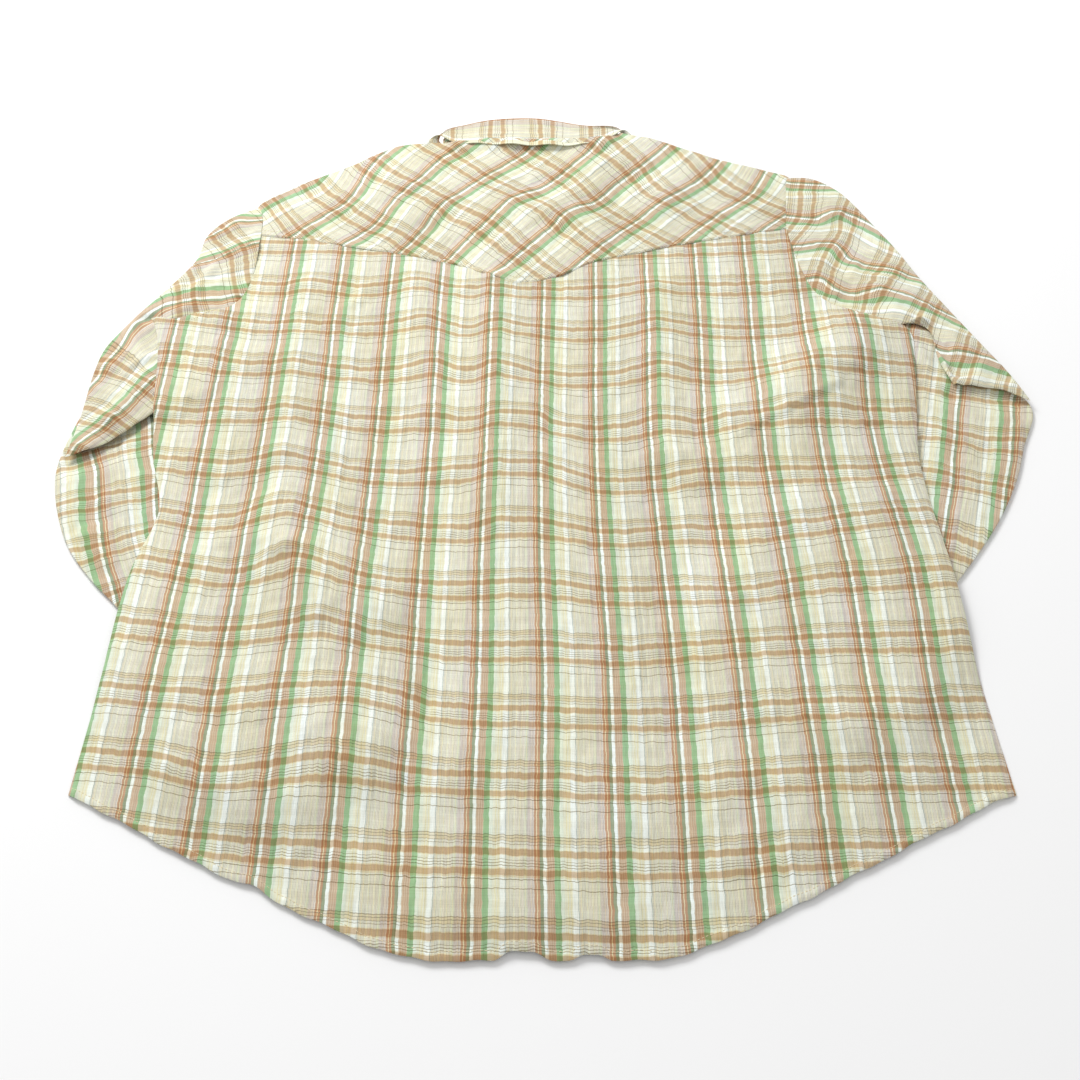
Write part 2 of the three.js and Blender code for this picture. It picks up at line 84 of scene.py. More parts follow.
rightForearm = np.array([
    [362, 544, 304, 556], [388, 480, 255, 530], [398, 454, 246, 485], [383, 415, 238, 440],
    [370, 381, 226, 405], [348, 340.5, 213, 372], [320, 301.5, 198, 344], [288, 262, 185, 321]])
leftCuff = np.array([[-258.8, 206.6, -155.8, 265.6], [-243, 179, -140, 238], [-226, 150, -123, 209]])
rightCuff = np.array([[287.8, 261.6, 184.8, 320.6], [272, 234, 169, 293], [255, 205, 152, 264]])

# Soft bars: from x, y to x, y, then reach and height.
liftUnder = [
    (-302, 530, -300, 480, 26, 10.4), (-320, 553, -298, 549, 20, 5.6), (-300, 470, -262, 380, 84, 5.6),
    (-262, 380, -208, 236, 80, 5.6), (-208, 236, -174, 180, 70, 7.4), (316, 560, 322, 500, 8, 5.6),
    (318, 480, 290, 400, 84, 5.6), (290, 400, 236, 292, 78, 5.6), (236, 292, 203, 235, 70, 7.4),
    (-88, 788, -84, 722, 44, 2.1), (-104, 800, -92, 788, 18, 4), (70, 790, 66, 722, 44, 2.1),
    (86, 808, 84, 788, 20, 4)]
liftSoft = 46
backFolds = [
    (-205, 330, -118, 250, 34, 5.5), (-245, 500, -262, 380, 26, 4), (-95, 600, -80, 380, 22, 2.6),
    (-40, 600, -36, 360, 20, 2.4), (95, 590, 102, 400, 24, 3), (150, 440, 285, 512, 26, 6),
    (120, 380, 230, 458, 26, 5), (292, 555, 190, 470, 26, 5), (-190, 170, -60, 120, 34, 3),
    (60, 90, 230, 150, 30, 3), (-160, 770, -110, 690, 26, 4), (70, 800, 20, 690, 26, 4),
    (150, 770, 110, 700, 24, 3.5)]

band = np.array([
    [-1, 728, 3, -1, 757, 3], [-40, 738, 3.2, -35, 765, 3.2], [-74, 765, 3.8, -64, 787, 3.4],
    [-91, 790, 4.4, -85, 803, 4.4], [-92.4, 802, 6.6, -94, 809, 6.6], [-86, 800, 8.6, -89, 814, 8.6],
    [-66, 789.5, 9, -70, 821, 9.6], [-38, 785, 9.4, -46, 827, 10.4], [10, 784, 9.4, -4, 829, 10.6],
    [48, 789.5, 9, 42, 818, 10], [66, 802, 8.6, 66, 817, 8.8], [73.4, 814, 6.4, 76, 820, 6.6],
    [72, 797, 4.6, 70, 804, 4.4], [58, 765, 3.8, 50, 787, 3.4], [30, 738, 3.2, 27, 765, 3.2],
    [1, 728, 3, 1, 757, 3]])
fall = np.array([
    [-4, 760, 1.6, -56, 690, 1.1], [-36, 770, 1.6, -84, 712, 1.1], [-68, 791, 1.6, -108, 744, 1.1],
    [-91, 806, 2.4, -120, 776, 1.1], [-98, 811, 5, -113, 808, 1.8], [-93, 820, 9.6, -100, 813, 9.8],
    [-71, 827, 12, -82, 798, 13], [-48, 833, 13, -40, 789, 17.6], [-4, 835, 13.4, 8, 786, 18.4],
    [44, 824, 13, 46, 790, 17], [70, 826, 11, 70, 807, 13.8], [78, 826, 7.4, 83, 822.5, 8.6],
    [81, 823, 4.8, 93, 818.5, 2.6], [74, 808, 2, 104, 784, 1.2], [52, 791, 1.6, 94, 744, 1.1],
    [28, 770, 1.6, 72, 712, 1.1], [4, 760, 1.6, 46, 690, 1.1]])
tailShape = np.array([[0, 0], [0.24, 0.006], [0.32, 0.07], [0.41, 0.18], [0.7, 0.56], [1, 1]])


def mix(a, b, t):
    return a + (b - a) * t


def smooth(value):
    t = np.clip(value, 0, 1)
    return t * t * (3 - 2 * t)


# A centripetal curve through points, read by its share of arc length.
def curveThrough(points):
    pts = np.array(points, float)
    ends = np.vstack([2 * pts[0] - pts[1], pts, 2 * pts[-1] - pts[-2]])
    t = np.linspace(0, 1, 60, endpoint=False)[:, None]
    dense = []
    for p0, p1, p2, p3 in zip(ends, ends[1:], ends[2:], ends[3:]):
        pairs = ((p0, p1), (p1, p2), (p2, p3))
        d0, d1, d2 = (max(float(np.linalg.norm(b - a)), 1e-4) ** 0.5 for a, b in pairs)
        m1 = ((p1 - p0) / d0 - (p2 - p0) / (d0 + d1) + (p2 - p1) / d1) * d1
        m2 = ((p2 - p1) / d1 - (p3 - p1) / (d1 + d2) + (p3 - p2) / d2) * d1
        dense.append(p1 + m1 * t + (3 * (p2 - p1) - 2 * m1 - m2) * t**2 + (2 * (p1 - p2) + m1 + m2) * t**3)
    dense = np.vstack([*dense, pts[-1:]])
    along = np.concatenate([[0], np.cumsum(np.linalg.norm(np.diff(dense, axis=0), axis=1))])
    along /= along[-1]

    def at(share):
        share = np.clip(np.asarray(share, float), 0, 1)
        return np.stack([np.interp(share, along, dense[:, i]) for i in range(dense.shape[1])], -1)
    return at


def chain(*parts):
    whole = sum(columns for _, columns in parts)

    def at(t):
        t = np.asarray(t, float)
        out = np.zeros(t.shape + (2,))
        start = 0
        for i, (curve, columns) in enumerate(parts):
            here = (t * whole > start + 1e-6) if i else np.full(t.shape, True)
            out[here] = curve((t[here] * whole - start) / columns)
            start += columns
        return out
    return at


def panel(bottom, top, left, right, hold):
    def at(u, v):
        u, v = np.broadcast_arrays(u, v)
        ends = [line(np.array([0.0, 1.0])) for line in (left, right)]
        off = [line(v) - mix(e[0], e[1], v[..., None]) for line, e in zip((left, right), ends)]
        inside = mix(bottom(u), top(u), v[..., None])
        return inside + off[0] * ((1 - u) ** hold)[..., None] + off[1] * (u**hold)[..., None]
    return at


def hemY(x):
    return tailDrop * np.interp(np.abs(x) / hemHalf, tailShape[:, 0], tailShape[:, 1])


def hemLine(start, end, rise):
    def at(t):
        x = mix(start, end, np.asarray(t, float))
        return np.stack([x, mix(hemY(x), tailDrop, rise / tailDrop)], -1)
    return at


def nearBar(bar, x, y, soft):
    runX, runY = bar[2] - bar[0], bar[3] - bar[1]
    t = np.clip(((x - bar[0]) * runX + (y - bar[1]) * runY) / (runX**2 + runY**2), 0, 1)
    distance = np.hypot(x - bar[0] - runX * t, y - bar[1] - runY * t)
    return smooth(1 - (distance - bar[4]) / soft)


def lift(x, y):
    return np.max([bar[5] * nearBar(bar, x, y, liftSoft) for bar in liftUnder], axis=0)


def ridge(fold, x, y):
    runX, runY = fold[2] - fold[0], fold[3] - fold[1]
    length = math.hypot(runX, runY)
    t = ((x - fold[0]) * runX + (y - fold[1]) * runY) / length
    off = ((x - fold[0]) * runY - (y - fold[1]) * runX) / length
    ends = smooth(1 - np.maximum(-t, t - length) / fold[4])
    return fold[5] * ends * np.exp(-((off / fold[4]) ** 2))


def bodyEdges(y):
    low = [np.interp(y, sideEdge[:, 0], sideEdge[:, i]) for i in (1, 2)]
    high = [np.interp(y, armholeEdge[:, 0], armholeEdge[:, i]) for i in (1, 2)]
    return [np.where(y < armholeEdge[0, 0], a, b) for a, b in zip(low, high)]


def lapShare(x):
    return smooth((lapHalf + lapSoft - np.abs(x)) / lapSoft)


def lapRise(x, y):
    return snapDrop * smooth((y - frontHemRise - 10) / (snapFirst - frontHemRise - 26)) * lapShare(x)


def leftFrontLow(x, y):
    return np.maximum(lift(x, y), lapRise(x, y) + layer * lapShare(x))


def rightFrontLow(x, y):
    return np.maximum(lift(x, y), lapRise(x, y) + 2 * layer * lapShare(x))


shoulderRows = np.array(leftShoulder + rightShoulder, float)


def freeShare(x, y):
    left, right = bodyEdges(y)
    fromSides = smooth((np.minimum(x - left, right - x) + 2) / edgeSoft)
    fromHem = smooth((y - hemY(x) + 8) / edgeSoft)
    below = np.interp(x, shoulderRows[:, 0], shoulderRows[:, 1]) - y
    return fromSides * fromHem * mix(shoulderLoft, 1, smooth(below / edgeSoft))


def backUnder(x, y):
    lapped = 2.2 * layer * lapShare(x) * smooth(y / frontHemRise)
    return np.maximum(lift(x, y), lapRise(x, y) + lapped) + layer + edgeLoft


def ridges(folds, x, y):
    return sum(ridge(fold, x, y) for fold in folds)


# Where the cloth would seem to lie on the surface, seen from the photo's viewpoint.
def seen(x, y, z):
    grow = viewHeight / (viewHeight - z)
    return x * grow, viewY + (y - viewY) * grow


# A smooth field through pins of x, y and value.
def pinned(pins, soft=0.0):
    pins = np.array(pins, float)
    span = 100.0
    spots = pins[:, :2] / span
    count = len(pins)

    def kernel(a, b):
        d2 = ((a[:, None, :] - b[None, :, :]) ** 2).sum(-1)
        return 0.5 * d2 * np.log(d2 + 1e-12)
    flatPart = np.hstack([np.ones((count, 1)), spots])
    system = np.zeros((count + 3, count + 3))
    system[:count, :count] = kernel(spots, spots) + soft * np.eye(count)
    system[:count, count:] = flatPart
    system[count:, :count] = flatPart.T
    weights = np.linalg.solve(system, np.concatenate([pins[:, 2], np.zeros(3)]))

    def at(x, y):
        where = np.stack([np.ravel(x), np.ravel(y)], -1) / span
        out = np.zeros(len(where))
        for start in range(0, len(where), 20000):
            part = where[start:start + 20000]
            out[start:start + 20000] = kernel(part, spots) @ weights[:count]
            out[start:start + 20000] += weights[count] + part @ weights[count + 1:]
        return out.reshape(np.shape(x))
    return at


def pinsOf(lines):
    return [(x, y, value) for value, points in lines for x, y in points]


repeatAcross, repeatAlong = 45.0, 53.45
warpStart, weftStart = -1.9, 22.4  # where a repeat starts, across and along


def bodyCloth(x, y, z):
    seenX, seenY = seen(x, y, z)
    across = (seenX - backPullX(seenX, seenY) - warpStart) / repeatAcross
    return across, (weftStart - seenY + backPullY(seenX, seenY)) / repeatAlong


print("curves and fields ready")


def facingOut(points, faces):
    a, b, c = (points[faces[:, i]] for i in range(3))
    if np.einsum("ij,ij->", a, np.cross(b, c)) < 0:
        faces = faces[:, ::-1]
    return faces


def makeMesh(name, points, faces, cloth, material):
    mesh = bpy.data.meshes.new(name)
    faces = facingOut(points, faces)
    mesh.vertices.add(len(points))
    mesh.vertices.foreach_set("co", ((points + [placeX, placeY, 0]) / 1000).astype(np.float32).ravel())
    mesh.loops.add(faces.size)
    mesh.loops.foreach_set("vertex_index", faces.ravel().astype(np.int32))
    mesh.polygons.add(len(faces))
    mesh.polygons.foreach_set("loop_start", np.arange(0, faces.size, 4, dtype=np.int32))
    mesh.polygons.foreach_set("use_smooth", np.ones(len(faces), bool))
    layerUV = mesh.uv_layers.new(name="cloth")
    layerUV.data.foreach_set("uv", cloth[faces.ravel()].astype(np.float32).ravel())
    mesh.update(calc_edges=True)
    mesh.validate()
    mesh.set_sharp_from_angle(angle=math.radians(52))
    mesh.materials.append(material)
    piece = bpy.data.objects.new(name, mesh)
    bpy.context.scene.collection.objects.link(piece)
    return piece


# A closed sheet from a lower and an upper grid of points.
def sheetMesh(name, lower, upper, cloth, material):
    rows, columns = upper.shape[:2]
    index = np.arange(rows * columns).reshape(rows, columns)
    half = rows * columns
    a, b, c, d = index[:-1, :-1], index[:-1, 1:], index[1:, 1:], index[1:, :-1]
    bottom = np.stack([a, d, c, b], -1).reshape(-1, 4)
    top = np.stack([a, b, c, d], -1).reshape(-1, 4) + half
    rim = np.concatenate([index[0, :-1], index[:-1, -1], index[-1, :0:-1], index[:0:-1, 0]])
    after = np.roll(rim, -1)
    side = np.stack([rim, after, after + half, rim + half], -1)
    points = np.vstack([lower.reshape(-1, 3), upper.reshape(-1, 3)])
    uv = np.vstack([cloth.reshape(-1, 2)] * 2)
    return makeMesh(name, points, np.vstack([bottom, top, side]), uv, material)


# A tube wall from an outer and an inner grid that close round on themselves along their columns.
def tubeMesh(name, outer, inner, cloth, material):
    rows, steps = outer.shape[:2]
    index = np.arange(rows * steps).reshape(rows, steps)
    beside = np.roll(index, -1, axis=1)
    half = rows * steps
    skin = np.stack([index[:-1], beside[:-1], beside[1:], index[1:]], -1).reshape(-1, 4)
    lining = skin[:, ::-1] + half
    start = np.stack([index[0], index[0] + half, beside[0] + half, beside[0]], -1)
    end = np.stack([index[-1], beside[-1], beside[-1] + half, index[-1] + half], -1)
    points = np.vstack([outer.reshape(-1, 3), inner.reshape(-1, 3)])
    uv = np.vstack([cloth.reshape(-1, 2)] * 2)
    return makeMesh(name, points, np.vstack([skin, lining, start, end]), uv, material)


def kept(piece, nodes):
    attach(piece, "root")
    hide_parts(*nodes)
    return piece


def linear(r, g, b, dim=1.0):
    def one(value):
        value /= 255
        return value / 12.92 if value <= 0.04045 else ((value + 0.055) / 1.055) ** 2.4
    return (one(r) * dim, one(g) * dim, one(b) * dim, 1.0)


# Yarn colours as they look on the ground, each kept as the share of the ground that it lets through.
ground = linear(230, 236, 220)


def tint(r, g, b):
    return tuple(a / b for a, b in zip(linear(r, g, b)[:3], linear(231, 233, 212)[:3])) + (1.0,)


yarns = {
    "rust": tint(196, 158, 127), "gold": tint(232, 222, 184), "sage": tint(158, 167, 137),
    "white": tint(231, 233, 212), "bright": tint(242, 246, 236), "tan": tint(207, 186, 160),
    "tanDeep": tint(197, 170, 141), "green": tint(157, 190, 144), "mint": tint(224, 230, 211),
    "cream": tint(229, 228, 204), "straw": tint(228, 221, 180), "slate": tint(180, 190, 184),
    "paper": tint(228, 227, 206), "mauve": tint(218, 208, 196), "brown": tint(201, 179, 142),
    "edge": tint(225, 218, 185), "line": tint(179, 173, 147), "dark": tint(168, 163, 137),
    "pin": tint(205, 199, 180)}
warpOrder = [
    (0, "rust"), (0.03, "gold"), (0.042, "rust"), (0.078, "sage"), (0.124, "bright"), (0.168, "tan"),
    (0.19, "tanDeep"), (0.2, "tan"), (0.222, "tanDeep"), (0.232, "tan"), (0.252, "tanDeep"), (0.262, "tan"),
    (0.278, "green"), (0.362, "mint"), (0.412, "cream"), (0.452, "straw"), (0.462, "cream"), (0.492, "straw"),
    (0.502, "cream"), (0.522, "bright"), (0.59, "slate"), (0.602, "paper"), (0.9, "mauve"), (0.985, "paper")]
weftOrder = [
    (0, "brown"), (0.04, "edge"), (0.053, "white"), (0.094, "line"), (0.105, "white"), (0.13, "line"),
    (0.141, "white"), (0.165, "line"), (0.176, "white"), (0.198, "edge"), (0.211, "brown"), (0.289, "edge"),
    (0.312, "white"), (0.33, "dark"), (0.342, "white"), (0.445, "line"), (0.456, "white"), (0.785, "line"),
    (0.796, "edge"), (0.82, "line"), (0.831, "edge"), (0.86, "line"), (0.871, "white"), (0.895, "line"),
    (0.906, "white"), (0.947, "edge"), (0.96, "brown")]
pinOrder = [(0, "white"), (0.15, "pin"), (0.24, "white"), (0.4, "straw"), (0.5, "white"), (0.65, "pin"),
            (0.74, "white"), (0.9, "mauve")]


def setRamp(node, order):
    node.color_ramp.interpolation = "CONSTANT"
    stops = node.color_ramp.elements
    while len(stops) < len(order):
        stops.new(0.5)
    for stop, (at, yarn) in zip(list(stops), order):
        stop.position = at
    for stop, (at, yarn) in zip(stops, order):
        stop.position, stop.color = at, yarns[yarn]


class Nodes:
    def __init__(self, tree):
        self.tree = tree

    def add(self, kind, **sets):
        node = self.tree.nodes.new(kind)
        for key, value in sets.items():
            setattr(node, key, value)
        return node

    def math(self, operation, a, b=0.0):
        node = self.add("ShaderNodeMath", operation=operation)
        for socket, value in zip(node.inputs, (a, b)):
            self.put(socket, value)
        return node.outputs[0]

    def put(self, socket, value):
        if isinstance(value, bpy.types.NodeSocket):
            self.tree.links.new(value, socket)
        else:
            socket.default_value = value

    def colour(self, blend, share, a, b):
        node = self.add("ShaderNodeMix", data_type="RGBA", blend_type=blend)
        self.put(node.inputs[0], share)
        self.put(node.inputs[6], a)
        self.put(node.inputs[7], b)
        return node.outputs[2]


def groupOf(name, inputs, outputs):
    tree = bpy.data.node_groups.new(name, "ShaderNodeTree")
    for label, kind in inputs:
        tree.interface.new_socket(name=label, in_out="INPUT", socket_type=kind)
    for label, kind in outputs:
        tree.interface.new_socket(name=label, in_out="OUTPUT", socket_type=kind)
    return tree, tree.nodes.new("NodeGroupInput"), tree.nodes.new("NodeGroupOutput")


# The plaid: warp yarns across and weft yarns along, multiplied as woven yarns mix, and the crinkle, used as
# bump height and also as painted shade in the colour.
def plaidGroup():
    tree, source, sink = groupOf("plaidYarns", [("Cloth", "NodeSocketVector")], [
        ("Colour", "NodeSocketColor"), ("Height", "NodeSocketFloat")])
    n = Nodes(tree)
    split = n.add("ShaderNodeSeparateXYZ")
    tree.links.new(source.outputs["Cloth"], split.inputs[0])

    def grain(across, along, detail=2.0):
        place = n.add("ShaderNodeMapping")
        n.put(place.inputs["Vector"], source.outputs["Cloth"])
        place.inputs["Scale"].default_value = (across, along, 1.0)
        noise = n.add("ShaderNodeTexNoise", noise_dimensions="2D")
        noise.inputs["Scale"].default_value = 1.0
        noise.inputs["Detail"].default_value = detail
        n.put(noise.inputs["Vector"], place.outputs[0])
        return n.math("SUBTRACT", noise.outputs[0], 0.5)

    def yarnAt(coordinate, shift, order):
        ramp = n.add("ShaderNodeValToRGB")
        setRamp(ramp, order)
        place = n.math("FRACT", n.math("ADD", coordinate, shift))
        n.put(ramp.inputs[0], place)
        return ramp.outputs[0], place

    def scaled(value, factor, offset=0.0):
        return n.math("ADD", n.math("MULTIPLY", value, factor), offset)

    fineCrinkle, broadCrinkle = grain(17, 2.0, 3.0), grain(6.5, 1.3)
    acrossShift = scaled(grain(2.5, 8), 0.03)
    alongShift = n.math("ADD", scaled(grain(8, 1.8), 0.042), scaled(grain(2.4, 1.2), 0.05))
    warp, warpAt = yarnAt(split.outputs[0], acrossShift, warpOrder)
    weft, weftAt = yarnAt(split.outputs[1], alongShift, weftOrder)
    pins = n.add("ShaderNodeValToRGB")
    setRamp(pins, pinOrder)
    n.put(pins.inputs[0], n.math("FRACT", n.math("DIVIDE", n.math("SUBTRACT", warpAt, 0.602), 0.0796)))
    inPins = n.math("GREATER_THAN", warpAt, 0.602)
    colour = n.colour("MULTIPLY", 1.0, warp, weft)
    colour = n.colour("MULTIPLY", inPins, colour, pins.outputs[0])
    colour = n.colour("MULTIPLY", 1.0, colour, ground)
    behind, _ = yarnAt(split.outputs[0], 0.43, warpOrder)
    behindWeft, _ = yarnAt(split.outputs[1], 0.37, weftOrder)
    colour = n.colour("MULTIPLY", 0.13, colour, n.colour("MULTIPLY", 1.0, behind, behindWeft))
    colour = n.colour("MULTIPLY", scaled(grain(1.3, 0.9, 3.0), 2.4, 0.5), colour, linear(250, 247, 235))
    slub = n.math("ADD", grain(68, 3.2), grain(2.8, 80))
    # Yarn slubs vary the tone along the threads. The fine crinkle darkens the colour where it is low, as
    # painted shade in the crinkle's hollows.
    slubAndPaintedShade = n.math("ADD", scaled(slub, 0.22), scaled(fineCrinkle, 0.3, 1.0))
    slubShadeGrey = n.add("ShaderNodeCombineXYZ")
    for socket in slubShadeGrey.inputs:
        n.put(socket, slubAndPaintedShade)
    n.put(sink.inputs["Colour"], n.colour("MULTIPLY", 1.0, colour, slubShadeGrey.outputs[0]))
    over = n.math("SINE", n.math("MULTIPLY", split.outputs[0], 2 * math.pi * 54))
    under = n.math("SINE", n.math("MULTIPLY", split.outputs[1], 2 * math.pi * 64))
    weave = scaled(n.math("MULTIPLY", over, under), 0.05)
    crinkle = n.math("ADD", fineCrinkle, scaled(broadCrinkle, 1.3))
    n.put(sink.inputs["Height"], n.math("ADD", weave, n.math("ADD", crinkle, scaled(slub, 0.12))))
    return tree


plaidTree = plaidGroup()


def clothMaterial(name, roughness=0.85):
    material = bpy.data.materials.new(name)
    material.use_nodes = True
    n = Nodes(material.node_tree)
    principled = material.node_tree.nodes["Principled BSDF"]
    place = n.add("ShaderNodeUVMap", uv_map="cloth")
    plaid = n.add("ShaderNodeGroup", node_tree=plaidTree)
    n.put(plaid.inputs["Cloth"], place.outputs[0])
    n.put(principled.inputs["Base Color"], plaid.outputs["Colour"])
    principled.inputs["Roughness"].default_value = roughness
    principled.inputs["Sheen Weight"].default_value = 0.12
    principled.inputs["Sheen Roughness"].default_value = 0.5
    principled.inputs["Specular IOR Level"].default_value = 0.15
    bump = n.add("ShaderNodeBump")
    bump.inputs["Strength"].default_value = 0.7
    bump.inputs["Distance"].default_value = 0.0009
    n.put(bump.inputs["Height"], plaid.outputs["Height"])
    n.put(principled.inputs["Normal"], bump.outputs[0])
    return material


plaid = clothMaterial("plaid_cotton")
threadMaterial = bpy.data.materials.new("sewing_thread")
threadMaterial.use_nodes = True
threadShader = threadMaterial.node_tree.nodes["Principled BSDF"]
threadShader.inputs["Base Color"].default_value = linear(226, 212, 178)
threadShader.inputs["Roughness"].default_value = 0.7
pearlMaterial = bpy.data.materials.new("snap_cap")
pearlMaterial.use_nodes = True
pearlNodes = Nodes(pearlMaterial.node_tree)
pearlShader = pearlMaterial.node_tree.nodes["Principled BSDF"]
cloud = pearlNodes.add("ShaderNodeTexNoise")
cloud.inputs["Scale"].default_value = 240.0
cloudColour = pearlNodes.colour("MIX", cloud.outputs[0], linear(236, 232, 224), linear(214, 222, 224))
pearlNodes.put(pearlShader.inputs["Base Color"], cloudColour)
pearlShader.inputs["Roughness"].default_value = 0.25
pearlShader.inputs["Coat Weight"].default_value = 0.6
print("materials ready")

# How far the grain of the back is pulled from straight: x, y on the surface, then the shift.
pullAcross = [
    (-290, 600, -1), (-150, 560, -1), (0, 560, -1.5), (120, 560, -1.5), (190, 550, -3), (282, 500, -4),
    (-290, 425, 0), (-150, 425, 0), (-60, 425, -1), (-10, 425, -3.5), (57, 425, -5), (100, 425, -7),
    (147, 425, -7), (190, 425, -7), (237, 425, -6.5), (282, 425, -9), (-280, 300, 0), (-120, 300, -2),
    (0, 300, -3), (150, 300, -3), (282, 300, 0), (-280, 200, -2.5), (-100, 200, -2.5), (0, 200, -1),
    (120, 200, 0), (282, 200, -4), (-240, 100, -2), (0, 100, -2), (240, 100, -2), (0, 10, -1)]
weftSeen = [
    (610.4, [(-225, 609), (-200, 614), (-150, 606), (-110, 614), (-85, 606), (-30, 603)]),
    (556.9, [(-275, 566), (-200, 559), (-125, 561), (-100, 564), (-60, 553), (-40, 559), (0, 555), (50, 551),
             (100, 559), (150, 555), (200, 555), (250, 564)]),
    (503.45, [(-300, 522), (-275, 517), (-250, 507), (-205, 512), (-175, 507), (-125, 504), (-85, 509),
              (-60, 502), (-40, 509), (0, 500), (75, 502), (100, 507), (150, 500), (250, 509), (290, 509)]),
    (450, [(-300, 458), (-250, 454), (-200, 459), (-150, 449), (-100, 448), (-50, 446), (-35, 451), (0, 451),
           (10, 443), (65, 438), (90, 444), (125, 443), (230, 457), (290, 457)]),
    (396.55, [(-290, 405), (-250, 398), (-200, 407), (-150, 395), (-100, 390), (-50, 395), (0, 400),
              (25, 390), (50, 382), (100, 385), (150, 390), (200, 394), (250, 395), (290, 398)]),
    (343.1, [(-290, 353), (-250, 344), (-190, 356), (-150, 346), (-100, 338), (-50, 336), (-35, 341),
             (0, 341), (50, 331), (100, 335), (150, 335), (200, 341), (250, 349), (290, 353)]),
    (289.65, [(-290, 306), (-250, 297), (-220, 293), (-185, 303), (-150, 295), (-130, 287), (-100, 284),
              (0, 285), (50, 277), (150, 278), (200, 288), (250, 292), (290, 296)]),
    (236.2, [(-290, 249), (-200, 244), (-150, 249), (-130, 241), (-80, 232), (-50, 229), (0, 230), (50, 226),
             (100, 229), (150, 233), (200, 236), (290, 239)]),
    (182.75, [(-290, 195), (-200, 191), (-125, 194), (-100, 190), (-75, 181), (-50, 178), (50, 174),
              (100, 175), (150, 180), (250, 183)]),
    (129.3, [(-290, 144), (-250, 140), (-220, 130), (-150, 139), (-125, 137), (-75, 127), (0, 126), (50, 122),
             (100, 122), (150, 127), (250, 130)]),
    (75.85, [(-225, 84), (-150, 78), (-50, 73), (0, 71), (50, 69), (100, 69), (150, 74)]),
    (22.4, [(-54, 16.5), (0, 17), (40, 15), (85, 15.5)])]
backPullX = pinned(pullAcross, 0.002)
backPullY = pinned([(x, y, y - value) for value, points in weftSeen for x, y in points], 0.004)

# Soft lengthwise ridges and smaller creases of the back.
softRidges = [
    (-205, 600, -200, 400, 13, 2.4), (-200, 400, -185, 300, 13, 2.4), (-185, 300, -155, 245, 13, 2.2),
    (-140, 130, -125, 190, 14, 2.0), (-110, 620, -80, 440, 12, 2.0), (-40, 600, -35, 330, 12, 2.2),
    (0, 470, 0, 330, 10, 1.2), (100, 600, 95, 400, 14, 2.2)]


def smallCreases(count, box, lean, spread, seed):
    draw = np.random.default_rng(seed)
    found = []
    for _ in range(count):
        x, y = draw.uniform(box[0], box[1]), draw.uniform(box[2], box[3])
        angle = lean + draw.normal(0, spread)
        half = draw.uniform(14, 48)
        dx, dy = half * math.cos(angle), half * math.sin(angle)
        reach = draw.uniform(3.5, 8)
        height = draw.uniform(0.25, 0.9) * draw.choice([-1, 1])
        found.append((x - dx, y - dy, x + dx, y + dy, reach, height))
    return found


# Fine crumple of thin cotton: many small waves of random direction.
def crumple(x, y, seed, fine=9.0, coarse=30.0, height=0.35, count=46):
    draw = np.random.default_rng(seed)
    total = np.zeros(np.shape(x))
    for _ in range(count):
        turn, wave = draw.uniform(0, math.pi), draw.uniform(fine, coarse)
        phase = draw.uniform(0, 2 * math.pi)
        run = (x * math.cos(turn) + y * math.sin(turn)) * 2 * math.pi / wave
        total += np.sin(run + phase) * (wave / coarse)
    return height * total / math.sqrt(count / 2)


# Sharper diagonal creases: a lit edge with a shallow dip on its low side, placed as they are seen from above.
creaseLines = [
    (160, 431, 203, 462, 5, 1.5), (203, 462, 248, 490, 5, 1.8), (262, 445, 303, 436, 4.5, 1.5),
    (230, 520, 268, 505, 5, 1.3), (250, 560, 280, 520, 5, 1.2), (-300, 540, -286, 470, 6, 1.6),
    (-292, 470, -276, 400, 6, 1.3), (-250, 380, -235, 320, 7, 1.2), (-118, 300, -96, 255, 5, 1.2),
    (-170, 318, -150, 268, 6, 1.3), (-40, 430, -30, 392, 4, 0.9), (60, 480, 84, 452, 4, 0.9),
    (150, 300, 176, 268, 5, 0.8), (-210, 210, -190, 168, 5, 0.9), (40, 200, 70, 176, 4, 0.7),
    (108, 96, 128, 60, 7, 1.6), (124, 110, 150, 86, 5, 1.0), (-160, 60, -140, 84, 5, 1.0),
    (180, 92, 196, 66, 5, 1.0), (-60, 48, -40, 30, 4, 0.7)]


def sharpCreases(x, y):
    total = np.zeros(np.shape(x))
    for crease in creaseLines:
        total += ridge(crease, x, y)
        runX, runY = crease[2] - crease[0], crease[3] - crease[1]
        length = math.hypot(runX, runY)
        shiftX, shiftY = abs(runY) / length * crease[4], -abs(runX) / length * crease[4]
        start, end = (crease[0] + shiftX, crease[1] + shiftY), (crease[2] + shiftX, crease[3] + shiftY)
        total += ridge((*start, *end, crease[4], -0.6 * crease[5]), x, y)
    return total


backCreases = smallCreases(90, (-290, 290, 20, 640), 1.45, 0.5, 3)
rows = np.concatenate([np.linspace(0, 0.03, 14)[:-1], np.linspace(0.03, 1, 182)])
columns = np.linspace(0, 1, 34 * 7 + 1)
u, v = np.meshgrid(columns, rows)


def raised(points, by):
    return [(x, y + by) for x, y in points]


def sideLine(index):
    return curveThrough(np.stack([sideEdge[:, index], sideEdge[:, 0]], -1))


def hemEdge(x):
    soft = np.mean([hemY(x + off) for off in (-10, -5, 0, 5, 10)], axis=0)
    waves = 3 * np.exp(-((x + 179) / 9) ** 2) + 2 * np.exp(-((x - 225) / 50) ** 2)
    return soft + waves + 0.5 * np.sin(x / 7.3) + 0.35 * np.sin(x / 3.1 + 1)


def hemArches(x):
    return 6.5 * np.exp(-((x + 11) / 13) ** 4) + 4.5 * np.exp(-((x - 31) / 9) ** 4)


def backHem(t):
    x = mix(-307.0, 310.0, np.asarray(t, float))
    return np.stack([x, hemEdge(x) + hemArches(x)], -1)


